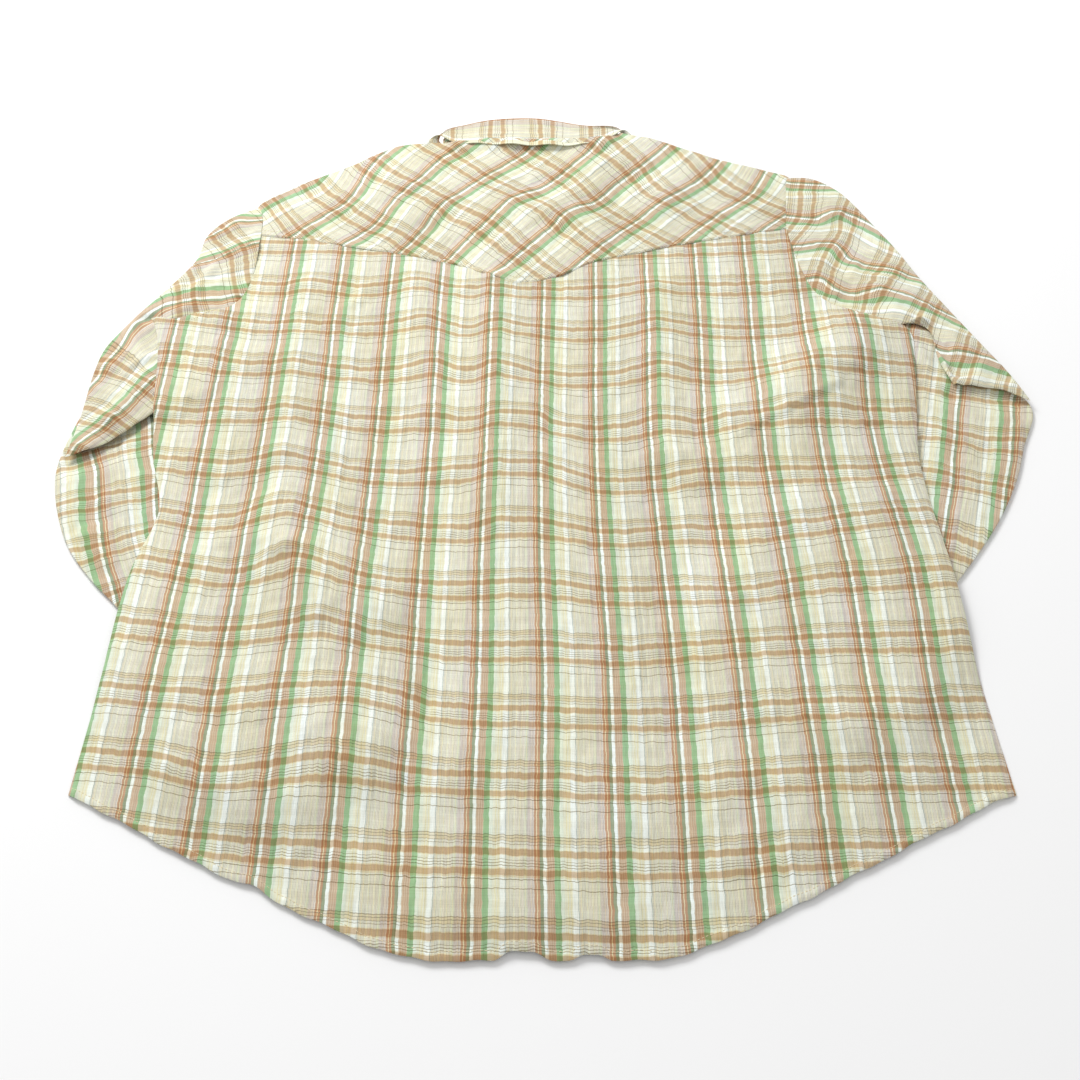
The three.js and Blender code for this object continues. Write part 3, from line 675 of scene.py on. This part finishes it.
# Back: 617 mm across and 782 mm long, a single panel below the yoke.
back = {"thick": clothThick, "under": 4.0, "roll": 7.0, "curl": 2.2,
        "hem": 5.5, "hemRise": 0.55, "pucker": 0.3}
backTop = chain((curveThrough(leftArmhole), 6), (curveThrough(raised(yokeSeamLeft, back["under"])), 11),
                (curveThrough(raised(yokeSeamRight, back["under"])), 11), (curveThrough(rightArmhole), 6))
plan = panel(backHem, backTop, sideLine(1), sideLine(2), 4)(u, v)
x, y = plan[..., 0], plan[..., 1]
free = freeShare(x, y)
under = backUnder(x, y)
meanZ = under + bulgeHeight * free + wall
edgeLeft, edgeRight = bodyEdges(y)
folds = ridges(backFolds, x, y) + ridges(softRidges, x, y) + ridges(backCreases, x, y)
z = under + wall + (bulgeHeight + folds) * free
z += crumple(x, y, 21) * (0.35 + 0.65 * free)
z += sharpCreases(*seen(x, y, z)) * smooth(free * 1.6)
fromHem = y - backHem(u)[..., 1]
inHem = smooth(fromHem / 1.5) * smooth((back["hem"] - fromHem) / 1.5)
z += inHem * (back["hemRise"] + back["pucker"] * np.sin(x / 1.25 + 2 * np.sin(x / 9)))
fromSide = np.minimum(x - edgeLeft, edgeRight - x)
fromTop = np.hypot(*(plan[-1:] - plan).transpose(2, 0, 1))
inArmhole = smooth((np.abs(u - 0.5) - 11 / 34) * 40)
fromEdge = np.where(y < armholeEdge[0, 0], fromSide, mix(99.0, fromTop, inArmhole))
z -= back["curl"] * (1 - np.clip(fromEdge / back["roll"], 0, 1)) ** 2
z = np.maximum(z, clothThick + gap)
upper = np.stack([x, y, z], -1)
lower = upper - [0, 0, back["thick"]]
cloth = np.stack(bodyCloth(x, y, meanZ), -1)
backPiece = kept(sheetMesh("shirt_back", lower, upper, cloth, plaid), ["back"])
backSurface = upper
print("back built")

# Yoke: cut on the bias, its pointed lower edge folded under and lying over the back.
yokeWarp = [
    (1.32, [(-250, 717), (-233, 731), (-210, 750)]),
    (2.147, [(-227, 670), (-207, 692), (-186, 713), (-172, 737), (-165, 759), (-155, 785)]),
    (3.147, [(-176, 662), (-152, 686), (-138, 715), (-124, 737), (-110, 760), (-94, 788), (-72, 806)]),
    (4.147, [(-127, 647), (-100, 693), (-88, 720), (-69, 740), (-49, 762), (-28, 781), (-14, 795)]),
    (5.147, [(-83, 638), (-61, 673), (-42, 702), (-25, 727), (0, 738), (22, 762), (44, 790), (74, 829)]),
    (6.147, [(-39, 619), (-11, 656), (11, 684), (28, 706), (50, 717), (67, 738), (92, 768), (117, 798)]),
    (7.147, [(32, 629), (67, 671), (92, 696), (117, 720), (146, 745), (171, 779)]),
    (8.147, [(127, 660), (149, 685), (174, 710), (199, 734), (216, 767)]),
    (9.147, [(203, 679), (214, 690), (235, 710)])]
yokeWeft = [
    (-1, [(-245, 721), (-214, 677)]), (-0.75, [(-249, 709), (-228, 674)]),
    (-2, [(-205, 746), (-178, 717), (-144, 687), (-116, 668), (-86, 643)]),
    (-1.75, [(-216, 732), (-178, 696), (-139, 670), (-125, 656)]),
    (-3, [(-155, 781), (-130, 757), (-88, 727), (-53, 702), (-27, 671), (-8, 648)]),
    (-2.75, [(-171, 770), (-146, 746), (-108, 723), (-80, 696), (-46, 667), (-24, 642)]),
    (-4, [(3, 718), (25, 695), (50, 663)]),
    (-3.75, [(-117, 807), (-92, 785), (-61, 754), (-12, 717), (16, 682), (49, 645)]),
    (-5, [(7, 782), (32, 752), (53, 721)]), (-4.75, [(-11, 779), (24, 740), (42, 713)]),
    (-6, [(72, 809), (96, 776), (116, 735), (138, 717), (175, 685)]),
    (-5.75, [(58, 793), (88, 754), (110, 720), (149, 688)]),
    (-7, [(160, 781), (182, 746), (214, 720), (230, 709)]),
    (-6.75, [(139, 787), (160, 746), (196, 717), (214, 704)])]
yokeAcross = pinned(pinsOf(yokeWarp), 0.002)
yokeAlong = pinned(pinsOf(yokeWeft), 0.004)
yoke = {"thick": clothThick, "lap": 0.9, "neckRise": 4.6, "neckFrom": 777,
        "groove": 0.5, "roll": 6.0, "curl": 2.0}
neckSeen = [(-98, 801), (-88, 798), (-62, 799), (-38, 799), (8, 798), (44, 799), (66, 804), (78, 816)]
yokeBottom = chain((curveThrough(yokeSeamLeft), 11), (curveThrough(yokeSeamRight), 11))
yokeTop = chain((curveThrough(leftShoulder), 8), (curveThrough(neckSeen), 6),
                (curveThrough(rightShoulder), 8))
yokeRows = np.concatenate([np.linspace(0, 0.04, 9)[:-1], np.linspace(0.04, 1, 100)])
u, v = np.meshgrid(np.linspace(0, 1, 22 * 9 + 1), yokeRows)
yokeShape = panel(yokeBottom, yokeTop, curveThrough(leftArmholeTop), curveThrough(rightArmholeTop), 4)
plan = yokeShape(u, v)
x, y = plan[..., 0], plan[..., 1]
free = freeShare(x, y)
under = backUnder(x, y)
meanZ = under + bulgeHeight * free + wall
yokeCreases = smallCreases(40, (-240, 220, 640, 800), 0.9, 0.5, 5)
folds = ridges(backFolds, x, y) + ridges(softRidges, x, y) + ridges(yokeCreases, x, y)
z = under + wall + (bulgeHeight + folds) * free + yoke["lap"] + crumple(x, y, 22) * (0.35 + 0.65 * free)
fromSeam = y - yokeBottom(u)[..., 1]
z -= 0.7 * (1 - smooth(fromSeam / 1.2))
atNeck = smooth((x + 96) / 16) * smooth((78 - x) / 16)
z += yoke["neckRise"] * smooth((y - yoke["neckFrom"]) / 20) * atNeck
z -= yoke["groove"] * np.exp(-((y - 784) / 1.1) ** 2) * atNeck
fromSide = np.minimum(u, 1 - u) * 500
z -= yoke["curl"] * (1 - np.clip(fromSide / yoke["roll"], 0, 1)) ** 2
upper = np.stack([x, y, z], -1)
lower = upper - [0, 0, yoke["thick"]]
seenX, seenY = seen(x, y, meanZ)
cloth = np.stack([yokeAcross(seenX, seenY), yokeAlong(seenX, seenY)], -1)
yokePiece = kept(sheetMesh("shirt_yoke", lower, upper, cloth, plaid), ["back_yoke"])
yokeSurface = upper
print("yoke built")


# Fronts and placket: hidden under the back, plain.
def layFront(name, node, shape, low, columns, rows):
    u, v = np.meshgrid(np.linspace(0, 1, columns + 1), np.linspace(0, 1, rows + 1))
    plan = shape(u, v)
    x, y = plan[..., 0], plan[..., 1]
    left, right = bodyEdges(y)
    x = np.where(y < sideEdge[-1, 0], np.clip(x, left + 1.5, right - 1.5), x)
    lower = np.stack([x, y, low(x, y) + 0.2], -1)
    cloth = np.stack([(x - warpStart) / repeatAcross, (weftStart - y) / repeatAlong], -1)
    return kept(sheetMesh(name, lower, lower + [0, 0, clothThick], cloth, plaid), [node])


def frontEdge(x):
    def at(t):
        y = mix(frontHemRise, frontNeckY, np.asarray(t, float))
        return np.stack([np.full(y.shape, float(x)), y], -1)
    return at


leftTop = chain((curveThrough(leftArmhole), 6), (curveThrough(leftArmholeTop), 2),
                (curveThrough(leftShoulder), 5), (curveThrough(leftFrontNeck), 5))
lap = placketWidth / 2
leftFrontPlan = panel(hemLine(-307, lap, frontHemRise), leftTop, sideLine(1), frontEdge(lap), 4)
leftFrontPiece = layFront("shirt_left_front", "left_front", leftFrontPlan, leftFrontLow, 90, 120)
rightTop = chain((curveThrough(rightFrontNeck), 5), (curveThrough(rightShoulder), 5),
                 (curveThrough(rightArmholeTop[::-1]), 2), (curveThrough(rightArmhole), 6))
rightFrontPlan = panel(hemLine(-lap, 310, frontHemRise), rightTop, frontEdge(-lap), sideLine(2), 4)
rightFrontPiece = layFront("shirt_right_front", "right_front", rightFrontPlan, rightFrontLow, 90, 120)


def placketPlan(u, v):
    half = placketWidth / 2 - 0.5
    return np.stack([mix(-half, half, u), mix(frontHemRise + 1, placketTop, v)], -1)


placketPiece = layFront("shirt_placket", "front_placket", placketPlan, lapRise, 12, 140)
print("fronts built")


# Sleeves: flattened tubes with a rolled end at the elbow fold.
def armholeLine(top, armhole, off):
    joined = chain((curveThrough(top), 2), (curveThrough([p for p in armhole if p[1] >= armholeTurn]), 3))
    return lambda t: joined(t) + [off, 0]


def layTube(name, nodes, shape, middle, height, clothAt, around, rows, roundEnd=0.0, forms=None):
    steps = around * 2
    turn, v = np.meshgrid(np.arange(steps) / steps * 2 * math.pi, np.linspace(0, 1, rows + 1))
    if roundEnd:
        v = 1 - (1 - v) ** 1.35
    a, b = shape(np.zeros_like(v), v), shape(np.ones_like(v), v)
    width = np.hypot(*(b - a).transpose(2, 0, 1))
    rounding = np.sign(np.sin(turn)) * np.abs(np.sin(turn)) ** 0.6
    end = 1.0
    if roundEnd:
        end = np.sqrt(np.clip(1 - np.clip((v - 1 + roundEnd) / roundEnd, 0, 1) ** 2, 0.02, 1))
    grids = []
    for inset in (0, clothThick):
        u = 0.5 - 0.5 * np.cos(turn) * (1 - 2 * inset / width)
        plan = shape(u, v)
        x, y = plan[..., 0], plan[..., 1]
        z = middle(u, v) + (height / 2 - inset) * rounding * end
        if forms:
            z += smooth(np.sin(turn) * 1.6) * forms(*seen(x, y, middle(u, v) + height / 2))
        z = np.maximum(z, inset + 0.05)
        grids.append(np.stack([x, y, z], -1))
        if inset == 0:
            cloth = np.stack(clothAt(x, y, middle(u, v) + height / 2), -1)
    return kept(tubeMesh(name, grids[0], grids[1], cloth, plaid), nodes)


def sleevePanel(seam, outer, inner, fold):
    ends = seam(np.array([0.0, 1.0]))
    outerLine, innerLine = curveThrough([ends[0], *outer]), curveThrough([ends[1], *inner])
    return panel(seam, curveThrough(fold), outerLine, innerLine, 1)


def sleeveMiddle(overFrom):
    return lambda u, v: sleeveHeight / 2 + (sleeveHeight + 2 * gap) * smooth((v - overFrom) / overRun)


def clothFrom(warpLines, weftLines):
    across, along = pinned(pinsOf(warpLines), 0.003), pinned(pinsOf(weftLines), 0.003)

    def at(x, y, z):
        seenX, seenY = seen(x, y, z)
        return across(seenX, seenY), along(seenX, seenY)
    return at


leftUpperCloth = clothFrom([
    (5.32, [(-264, 703), (-275, 706)]), (5.147, [(-263, 697), (-283, 697), (-291, 684), (-297, 678)]),
    (4.147, [(-265, 661), (-272, 655), (-282, 648), (-306, 637)]),
    (3.32, [(-263, 605), (-284, 603), (-306, 600), (-329, 592)]),
    (3.147, [(-267, 594), (-285, 591), (-314, 587), (-331, 579), (-343, 567), (-351, 547), (-356, 527),
             (-364, 510), (-367, 493)]),
    (2.147, [(-316, 499), (-328, 476), (-341, 451), (-355, 433), (-366, 421), (-374, 407)])], [
    (1, [(-287, 682), (-279, 671), (-268, 658), (-265, 650), (-261, 625)]),
    (1.25, [(-298, 672), (-283, 653), (-277, 646), (-271, 615), (-267, 601)]),
    (1.45, [(-302, 659), (-292, 645), (-282, 621), (-272, 584)]),
    (2, [(-311, 623), (-303, 594), (-293, 562)]), (2.25, [(-318, 604), (-313, 582), (-304, 548)]),
    (3, [(-369, 514), (-353, 510), (-345, 504), (-333, 494)]),
    (3.25, [(-364, 499), (-349, 494), (-340, 490)]),
    (4, [(-368, 459), (-357, 455), (-348, 448), (-339, 443)]), (4.25, [(-372, 445), (-362, 441)]),
    (5, [(-372, 412), (-361, 407)])])
leftForeCloth = clothFrom([
    (1.32, [(-359, 394), (-353, 368), (-347, 342), (-338, 318), (-327, 289)]),
    (1.147, [(-347, 391), (-340, 362), (-333, 334), (-325, 308), (-314, 282)]),
    (0.32, [(-323, 438), (-317, 409), (-309, 381), (-303, 355), (-295, 326)]),
    (0.147, [(-314, 440), (-309, 417), (-301, 388)])], [
    (0, [(-338, 420), (-322, 424), (-304, 429)]), (0.25, [(-356, 399), (-335, 409), (-314, 416)]),
    (1, [(-374, 357), (-338, 365), (-304, 375)]), (1.25, [(-367, 347), (-338, 352), (-299, 365)]),
    (2, [(-353, 313), (-330, 318), (-299, 331)]), (2.25, [(-340, 302), (-320, 309), (-299, 318)])])
rightUpperCloth = clothFrom([
    (-0.853, [(239, 752), (258, 750)]),
    (0.147, [(234, 701), (253, 698), (269, 706), (277, 710), (289, 704), (295, 699)]),
    (0.32, [(244, 691), (259, 691), (276, 702), (289, 691), (307, 676)]),
    (1.147, [(238, 660), (258, 662), (265, 663), (273, 647), (279, 637), (296, 632), (328, 620)]),
    (1.32, [(236, 652), (256, 658), (262, 653), (271, 637), (279, 633)]),
    (2.147, [(241, 614), (249, 614), (258, 599), (273, 595), (294, 600), (304, 600), (323, 589), (331, 583)]),
    (2.32, [(259, 592), (273, 586), (295, 589), (314, 586), (322, 583), (352, 562), (362, 555)]),
    (3.147, [(334, 528), (352, 523), (369, 517), (377, 514)]),
    (3.32, [(335, 515), (355, 509), (379, 503)])], [
    (0, [(246, 741), (244, 729), (239, 704)]), (0.25, [(259, 743), (257, 729), (252, 700)]),
    (1, [(277, 699), (269, 669), (258, 653), (248, 625), (244, 614)]),
    (1.25, [(289, 690), (278, 662), (268, 643), (259, 621), (254, 608)]),
    (1.45, [(295, 684), (280, 640), (271, 626), (262, 600)]),
    (2, [(317, 655), (305, 632), (297, 621), (286, 595), (281, 579)]),
    (2.25, [(323, 638), (314, 620), (304, 602), (290, 577)]), (3.25, [(338, 563), (329, 540)]),
    (4, [(363, 538), (354, 514), (343, 490)]), (4.25, [(371, 531), (361, 507), (355, 493)])])
rightForeCloth = clothFrom([
    (0.32, [(334, 477), (322, 428), (308, 376), (302, 351)]),
    (0.147, [(344, 477), (331, 428), (318, 376), (308, 345)]),
    (-0.68, [(378, 475), (366, 425), (352, 376), (345, 351)]),
    (-0.853, [(388, 475), (375, 425), (368, 400)])], [
    (0, [(302, 442), (322, 436), (357, 425), (385, 425)]), (0.25, [(302, 428), (341, 417), (382, 411)]),
    (1, [(297, 395), (316, 389), (338, 381)]), (1.25, [(294, 381), (313, 378), (341, 370)]),
    (2, [(302, 329), (330, 318)])])

# Forms of the sleeves, placed as they are seen from above: from x, y to x, y, then reach and height.
leftSleeveFolds = [
    (-336, 566, -322, 526, 8, -2.6), (-321, 517, -337, 500, 4, -1.6), (-324, 524, -342, 506, 4, 1.6),
    (-318, 490, -345, 446, 9, 2.8), (-345, 446, -366, 416, 8, 1.8), (-350, 560, -344, 520, 8, 1.6),
    (-290, 630, -304, 596, 6, 1.2), (-272, 636, -284, 606, 5, 1.1), (-300, 585, -322, 560, 6, 1.4),
    (-276, 690, -292, 676, 5, 1.2), (-268, 684, -270, 668, 4, -0.8), (-330, 480, -352, 474, 5, 1.2),
    (-356, 520, -364, 480, 6, 1.0)]
rightSleeveFolds = [
    (325, 562, 329, 536, 5, 6), (329, 536, 334, 508, 5, 6.5), (334, 508, 341, 482, 5, 5.5),
    (336, 556, 341, 530, 8, -3.6), (341, 530, 348, 498, 7, -3.4), (262, 700, 278, 706, 6, 1.4),
    (284, 706, 292, 694, 5, -1.2), (252, 662, 268, 660, 5, 1.3), (270, 656, 284, 634, 6, 1.6),
    (262, 640, 274, 612, 5, -1.2), (276, 622, 300, 604, 6, 1.4), (300, 604, 336, 580, 7, 1.5),
    (244, 622, 262, 596, 5, 1.4), (262, 590, 300, 584, 6, -1.2), (320, 600, 345, 560, 7, 1.4),
    (350, 540, 372, 512, 7, 1.3), (355, 505, 386, 492, 7, -1.4), (300, 650, 316, 620, 8, 1.4)]
leftForearmFolds = [
    (-372, 404, -340, 424, 9, -2.4), (-340, 424, -312, 452, 9, -2.4), (-364, 384, -356, 340, 10, 1.6),
    (-330, 400, -322, 350, 9, 1.2), (-306, 400, -300, 340, 8, -1.2), (-345, 330, -318, 300, 8, 1.2)]
rightForearmFolds = [
    (336, 474, 396, 466, 10, -2.8), (300, 500, 304, 430, 10, -2.0), (306, 440, 340, 410, 8, 1.6),
    (340, 467, 371, 445, 8, 1.8), (302, 420, 298, 370, 9, -1.4), (385, 440, 374, 396, 9, 1.4),
    (330, 400, 322, 350, 9, 1.0), (318, 540, 322, 505, 6, 2.0)]
capFold = [(-312, 633), (-306, 637), (-296, 640), (-287, 645), (-282, 650), (-272, 655), (-262, 665)]


def sleeveForms(folds, box, seed, lapLine=None):
    small = smallCreases(26, box, 1.2, 0.7, seed)

    def at(x, y):
        total = ridges(folds, x, y) + ridges(small, x, y) + crumple(x, y, seed, height=0.45)
        if lapLine:
            line = np.array(lapLine, float)
            below = np.interp(x, line[:, 0], line[:, 1]) - y
            total = total + 2.4 * smooth(below / 1.5) * np.exp(-np.clip(below, 0, None) / 26)
        return total
    return at


leftBox, rightBox = (-390, -250, 260, 720), (240, 400, 300, 760)
forms = {
    "left_sleeve": sleeveForms(leftSleeveFolds, leftBox, 31, capFold),
    "right_sleeve": sleeveForms(rightSleeveFolds, rightBox, 32),
    "left_forearm": sleeveForms(leftForearmFolds, leftBox, 33),
    "right_forearm": sleeveForms(rightForearmFolds, rightBox, 34)}
seamTuck = 3.5  # the sleeves' seam ends lie this far under the body
leftSeam = armholeLine(leftArmholeTop[::-1], leftArmhole[::-1], seamTuck)
rightSeam = armholeLine(rightArmholeTop[::-1], rightArmhole, -seamTuck)
leftUpper = sleevePanel(leftSeam, leftSleeveOuter, leftSleeveInner, leftElbowFold)
rightUpper = sleevePanel(rightSeam, rightSleeveOuter, rightSleeveInner, rightElbowFold)


def lowMiddle(height):
    return lambda u, v: np.full(np.shape(u), height / 2)


def between(rows):
    outer, inner = curveThrough(rows[:, :2]), curveThrough(rows[:, 2:])
    return lambda u, v: mix(outer(v), inner(v), np.asarray(u, float)[..., None])


for side, upperPlan, overFrom, upperCloth, forearm, foreCloth, cuff in (
        ("left", leftUpper, leftOverFrom, leftUpperCloth, leftForearm, leftForeCloth, leftCuff),
        ("right", rightUpper, rightOverFrom, rightUpperCloth, rightForearm, rightForeCloth, rightCuff)):
    layTube(
        f"shirt_{side}_sleeve", [f"{side}_sleeve"], upperPlan, sleeveMiddle(overFrom), sleeveHeight,
        upperCloth, 64, 190, 0.03, forms[f"{side}_sleeve"])
    layTube(
        f"shirt_{side}_forearm", [f"{side}_forearm"], between(forearm), lowMiddle(sleeveHeight), sleeveHeight,
        foreCloth, 60, 120, forms=forms[f"{side}_forearm"])
    layTube(
        f"shirt_{side}_cuff", [f"{side}_cuff"], between(cuff), lowMiddle(cuffHeight), cuffHeight,
        foreCloth, 40, 24)
print("sleeves built")


# Collar: the band stands inside, the fall folds over it.
def stripGrids(fromRows, toRows, columns, across, bulge):
    u = np.linspace(0, 1, columns + 1)
    start, end = curveThrough(fromRows)(u), curveThrough(toRows)(u)
    w = across[:, None, None]
    middle = start[None] + (end - start)[None] * w
    along = np.gradient(middle, axis=1)
    acrossway = np.broadcast_to((end - start)[None], middle.shape)
    normal = np.cross(along, acrossway)
    normal /= np.linalg.norm(normal, axis=-1, keepdims=True) + 1e-9
    middle = middle + normal * bulge(across)[:, None, None]
    return middle, normal, u


collar = {"thick": 0.8, "columns": 240, "foldAt": 1.02, "edgeAt": 0.42, "pairAt": -49,
          "wave": 0.9, "fold": 1.6}
acrossLeaf = np.linspace(0, 1, 25)
middle, normal, along = stripGrids(fall[:, :3], fall[:, 3:], collar["columns"], acrossLeaf,
                                   lambda w: collar["fold"] * np.sin(math.pi * w) ** 0.7)
middle[..., 2] = np.maximum(middle[..., 2], 0.8)
middle[..., 2] += collar["wave"] * (acrossLeaf**2)[:, None] * np.sin(middle[..., 0] / 5.5) * np.exp(
    -(middle[..., 0] / 90) ** 4)
seenX, seenY = seen(*middle.transpose(2, 0, 1))
cloth = np.stack([np.broadcast_to(mix(collar["foldAt"], collar["edgeAt"], acrossLeaf)[:, None], seenX.shape),
                  (seenX - collar["pairAt"]) / 49.3], -1)
half = collar["thick"] / 2
fallPiece = kept(sheetMesh("shirt_collar_fall", middle - normal * half, middle + normal * half, cloth, plaid),
                 ["collar_fall"])
middle, normal, along = stripGrids(band[:, :3], band[:, 3:], 180, np.linspace(0, 1, 9), lambda w: 0 * w)
cloth = np.stack([np.broadcast_to(0.1 + np.linspace(0, 1, 9)[:, None] * 0.6, middle.shape[:2]),
                  np.broadcast_to(np.linspace(0, 7, 181), middle.shape[:2])], -1)
bandPiece = kept(sheetMesh("shirt_collar_band", middle - normal * 0.5, middle + normal * 0.5, cloth, plaid),
                 ["collar_band"])
print("collar built")

# A row of joined stitches lying on a line of points.
def stitchRow(points, pitch=2.8, length=2.2, radius=0.2):
    points = np.asarray(points, float)
    along = np.concatenate([[0], np.cumsum(np.linalg.norm(np.diff(points, axis=0), axis=1))])
    starts = np.arange(pitch / 2, along[-1] - pitch, pitch)

    def spot(at):
        return np.stack([np.interp(at, along, points[:, i]) for i in range(3)], -1)
    tips = [spot(starts + length * t) for t in (0.0, 0.2, 0.8, 1.0)]
    ahead = tips[3] - tips[0]
    ahead /= np.linalg.norm(ahead, axis=1, keepdims=True)
    side = np.cross(ahead, [0.0, 0.0, 1.0])
    up = np.cross(side, ahead)
    turn = np.arange(6) / 6 * 2 * math.pi
    rings = []
    for tip, thick, sink in zip(tips, (0.3, 1.0, 1.0, 0.3), (-0.3, 0.12, 0.12, -0.3)):
        ring = side[:, None] * np.cos(turn)[:, None] + up[:, None] * np.sin(turn)[:, None]
        rings.append(tip[:, None] + ring * radius * thick + np.array([0, 0, sink]))
    rings = np.stack(rings, 1)
    index = np.arange(rings.shape[0] * 24).reshape(-1, 4, 6)
    beside = np.roll(index, -1, axis=2)
    faces = np.stack([index[:, :-1], beside[:, :-1], beside[:, 1:], index[:, 1:]], -1).reshape(-1, 4)
    ends = np.concatenate([index[:, 0, ::-1][:, [0, 1, 2, 3]], index[:, 0, ::-1][:, [3, 4, 5, 0]],
                           index[:, 3][:, [0, 1, 2, 3]], index[:, 3][:, [3, 4, 5, 0]]])
    return rings.reshape(-1, 3), np.concatenate([faces, ends])


def stitches(name, lines):
    points, faces, count = [], [], 0
    for line in lines:
        rowPoints, rowFaces = stitchRow(line)
        points.append(rowPoints)
        faces.append(rowFaces + count)
        count += len(rowPoints)
    points = np.vstack(points)
    piece = makeMesh(name, points, np.vstack(faces), points[:, :2] * 0, threadMaterial)
    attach(piece, "root")
    return piece


# Pearl snaps on the placket, facing the surface.
snap = {"around": 36, "profile": [(0, 0), (3.4, 0), (4.6, 0.35), (5.2, 0.8), (5.5, 1.3), (5.3, 1.8),
                                  (4.9, 2.0), (0, 2.0)]}
profile = np.array(snap["profile"], float)
for i in range(snapCount):
    turn = np.arange(snap["around"]) / snap["around"] * 2 * math.pi
    ring = np.stack([profile[:, :1] * np.cos(turn), profile[:, :1] * np.sin(turn),
                     np.broadcast_to(profile[:, 1:], (len(profile), snap["around"]))], -1)
    ring += [0, snapFirst + i * snapPitch, gap]
    ring[0, :, :2] += 0.01 * np.stack([np.cos(turn), np.sin(turn)], -1)
    ring[-1, :, :2] += 0.01 * np.stack([np.cos(turn), np.sin(turn)], -1)
    points = ring.reshape(-1, 3)
    index = np.arange(len(points)).reshape(ring.shape[:2])
    beside = np.roll(index, -1, axis=1)
    faces = np.stack([index[:-1], beside[:-1], beside[1:], index[1:]], -1).reshape(-1, 4)
    piece = makeMesh(f"shirt_snap_{i + 1}", points, faces, points[:, :2] * 0, pearlMaterial)
    kept(piece, [f"front_snap_{i + 1}"])
print("snaps built")


# The line that runs a set distance in from an edge of a surface's grid of points.
def stitchLine(surface, distance, share=slice(None)):
    surface = surface[:, share]
    steps = np.linalg.norm(np.diff(surface, axis=0), axis=2)
    along = np.vstack([np.zeros(surface.shape[1]), np.cumsum(steps, axis=0)])
    columns = range(surface.shape[1])
    line = [[np.interp(distance, along[:, j], surface[:, j, i]) for i in range(3)] for j in columns]
    return np.array(line)


seams = {"hem": 5.5, "yokeEdge": 1.8, "yokeSecond": 7.0, "yokeEnds": 2.2,
         "armhole": 6.5, "armholeColumns": 43}
hemStitches = stitches("shirt_hem_stitches", [stitchLine(backSurface, seams["hem"])])
yokeStitches = stitches("shirt_yoke_stitches", [
    stitchLine(yokeSurface, seams["yokeEdge"]), stitchLine(yokeSurface, seams["yokeSecond"]),
    stitchLine(yokeSurface.transpose(1, 0, 2), seams["yokeEnds"]),
    stitchLine(yokeSurface[:, ::-1].transpose(1, 0, 2), seams["yokeEnds"])])
armholeStitches = stitches("shirt_armhole_stitches", [
    stitchLine(backSurface[::-1], seams["armhole"], share)
    for share in (slice(0, seams["armholeColumns"]), slice(-seams["armholeColumns"], None))])
print("stitches built")

floorMesh = bpy.data.meshes.new("floor")
floorMesh.from_pydata([(-6, -6, 0), (6, -6, 0), (6, 6, 0), (-6, 6, 0)], [], [(0, 1, 2, 3)])
floor = bpy.data.objects.new("floor", floorMesh)
bpy.context.scene.collection.objects.link(floor)
floorMaterial = bpy.data.materials.new("floor")
floorMaterial.use_nodes = True
floorShader = floorMaterial.node_tree.nodes["Principled BSDF"]
floorShader.inputs["Base Color"].default_value = (0.9, 0.9, 0.9, 1)
floorShader.inputs["Roughness"].default_value = 0.9
floorMesh.materials.append(floorMaterial)

world = bpy.data.worlds.new("studio")
bpy.context.scene.world = world
world.use_nodes = True
world.node_tree.nodes["Background"].inputs["Color"].default_value = (1, 1, 1, 1)
world.node_tree.nodes["Background"].inputs["Strength"].default_value = 0.66


def areaLight(name, place, target, size, power):
    data = bpy.data.lights.new(name, "AREA")
    data.size, data.energy = size, power
    lamp = bpy.data.objects.new(name, data)
    lamp.location = place
    aim(lamp, place, target)
    bpy.context.scene.collection.objects.link(lamp)


def aim(thing, place, target):
    thing.rotation_euler = (Vector(target) - Vector(place)).to_track_quat("-Z", "Y").to_euler()


areaLight("key", (-1.0, 1.5, 1.5), (0, 0, 0), 0.9, 46)
cameraData = bpy.data.cameras.new("camera")
cameraData.lens, cameraData.sensor_width = 44.4, 36
camera = bpy.data.objects.new("camera", cameraData)
camera.location = (placeX / 1000, (viewY + placeY) / 1000, viewHeight / 1000)
aim(camera, camera.location, (placeX / 1000, (322.4 + placeY) / 1000, 0))
bpy.context.scene.collection.objects.link(camera)
bpy.context.scene.camera = camera
bpy.context.scene.view_settings.view_transform = "Standard"
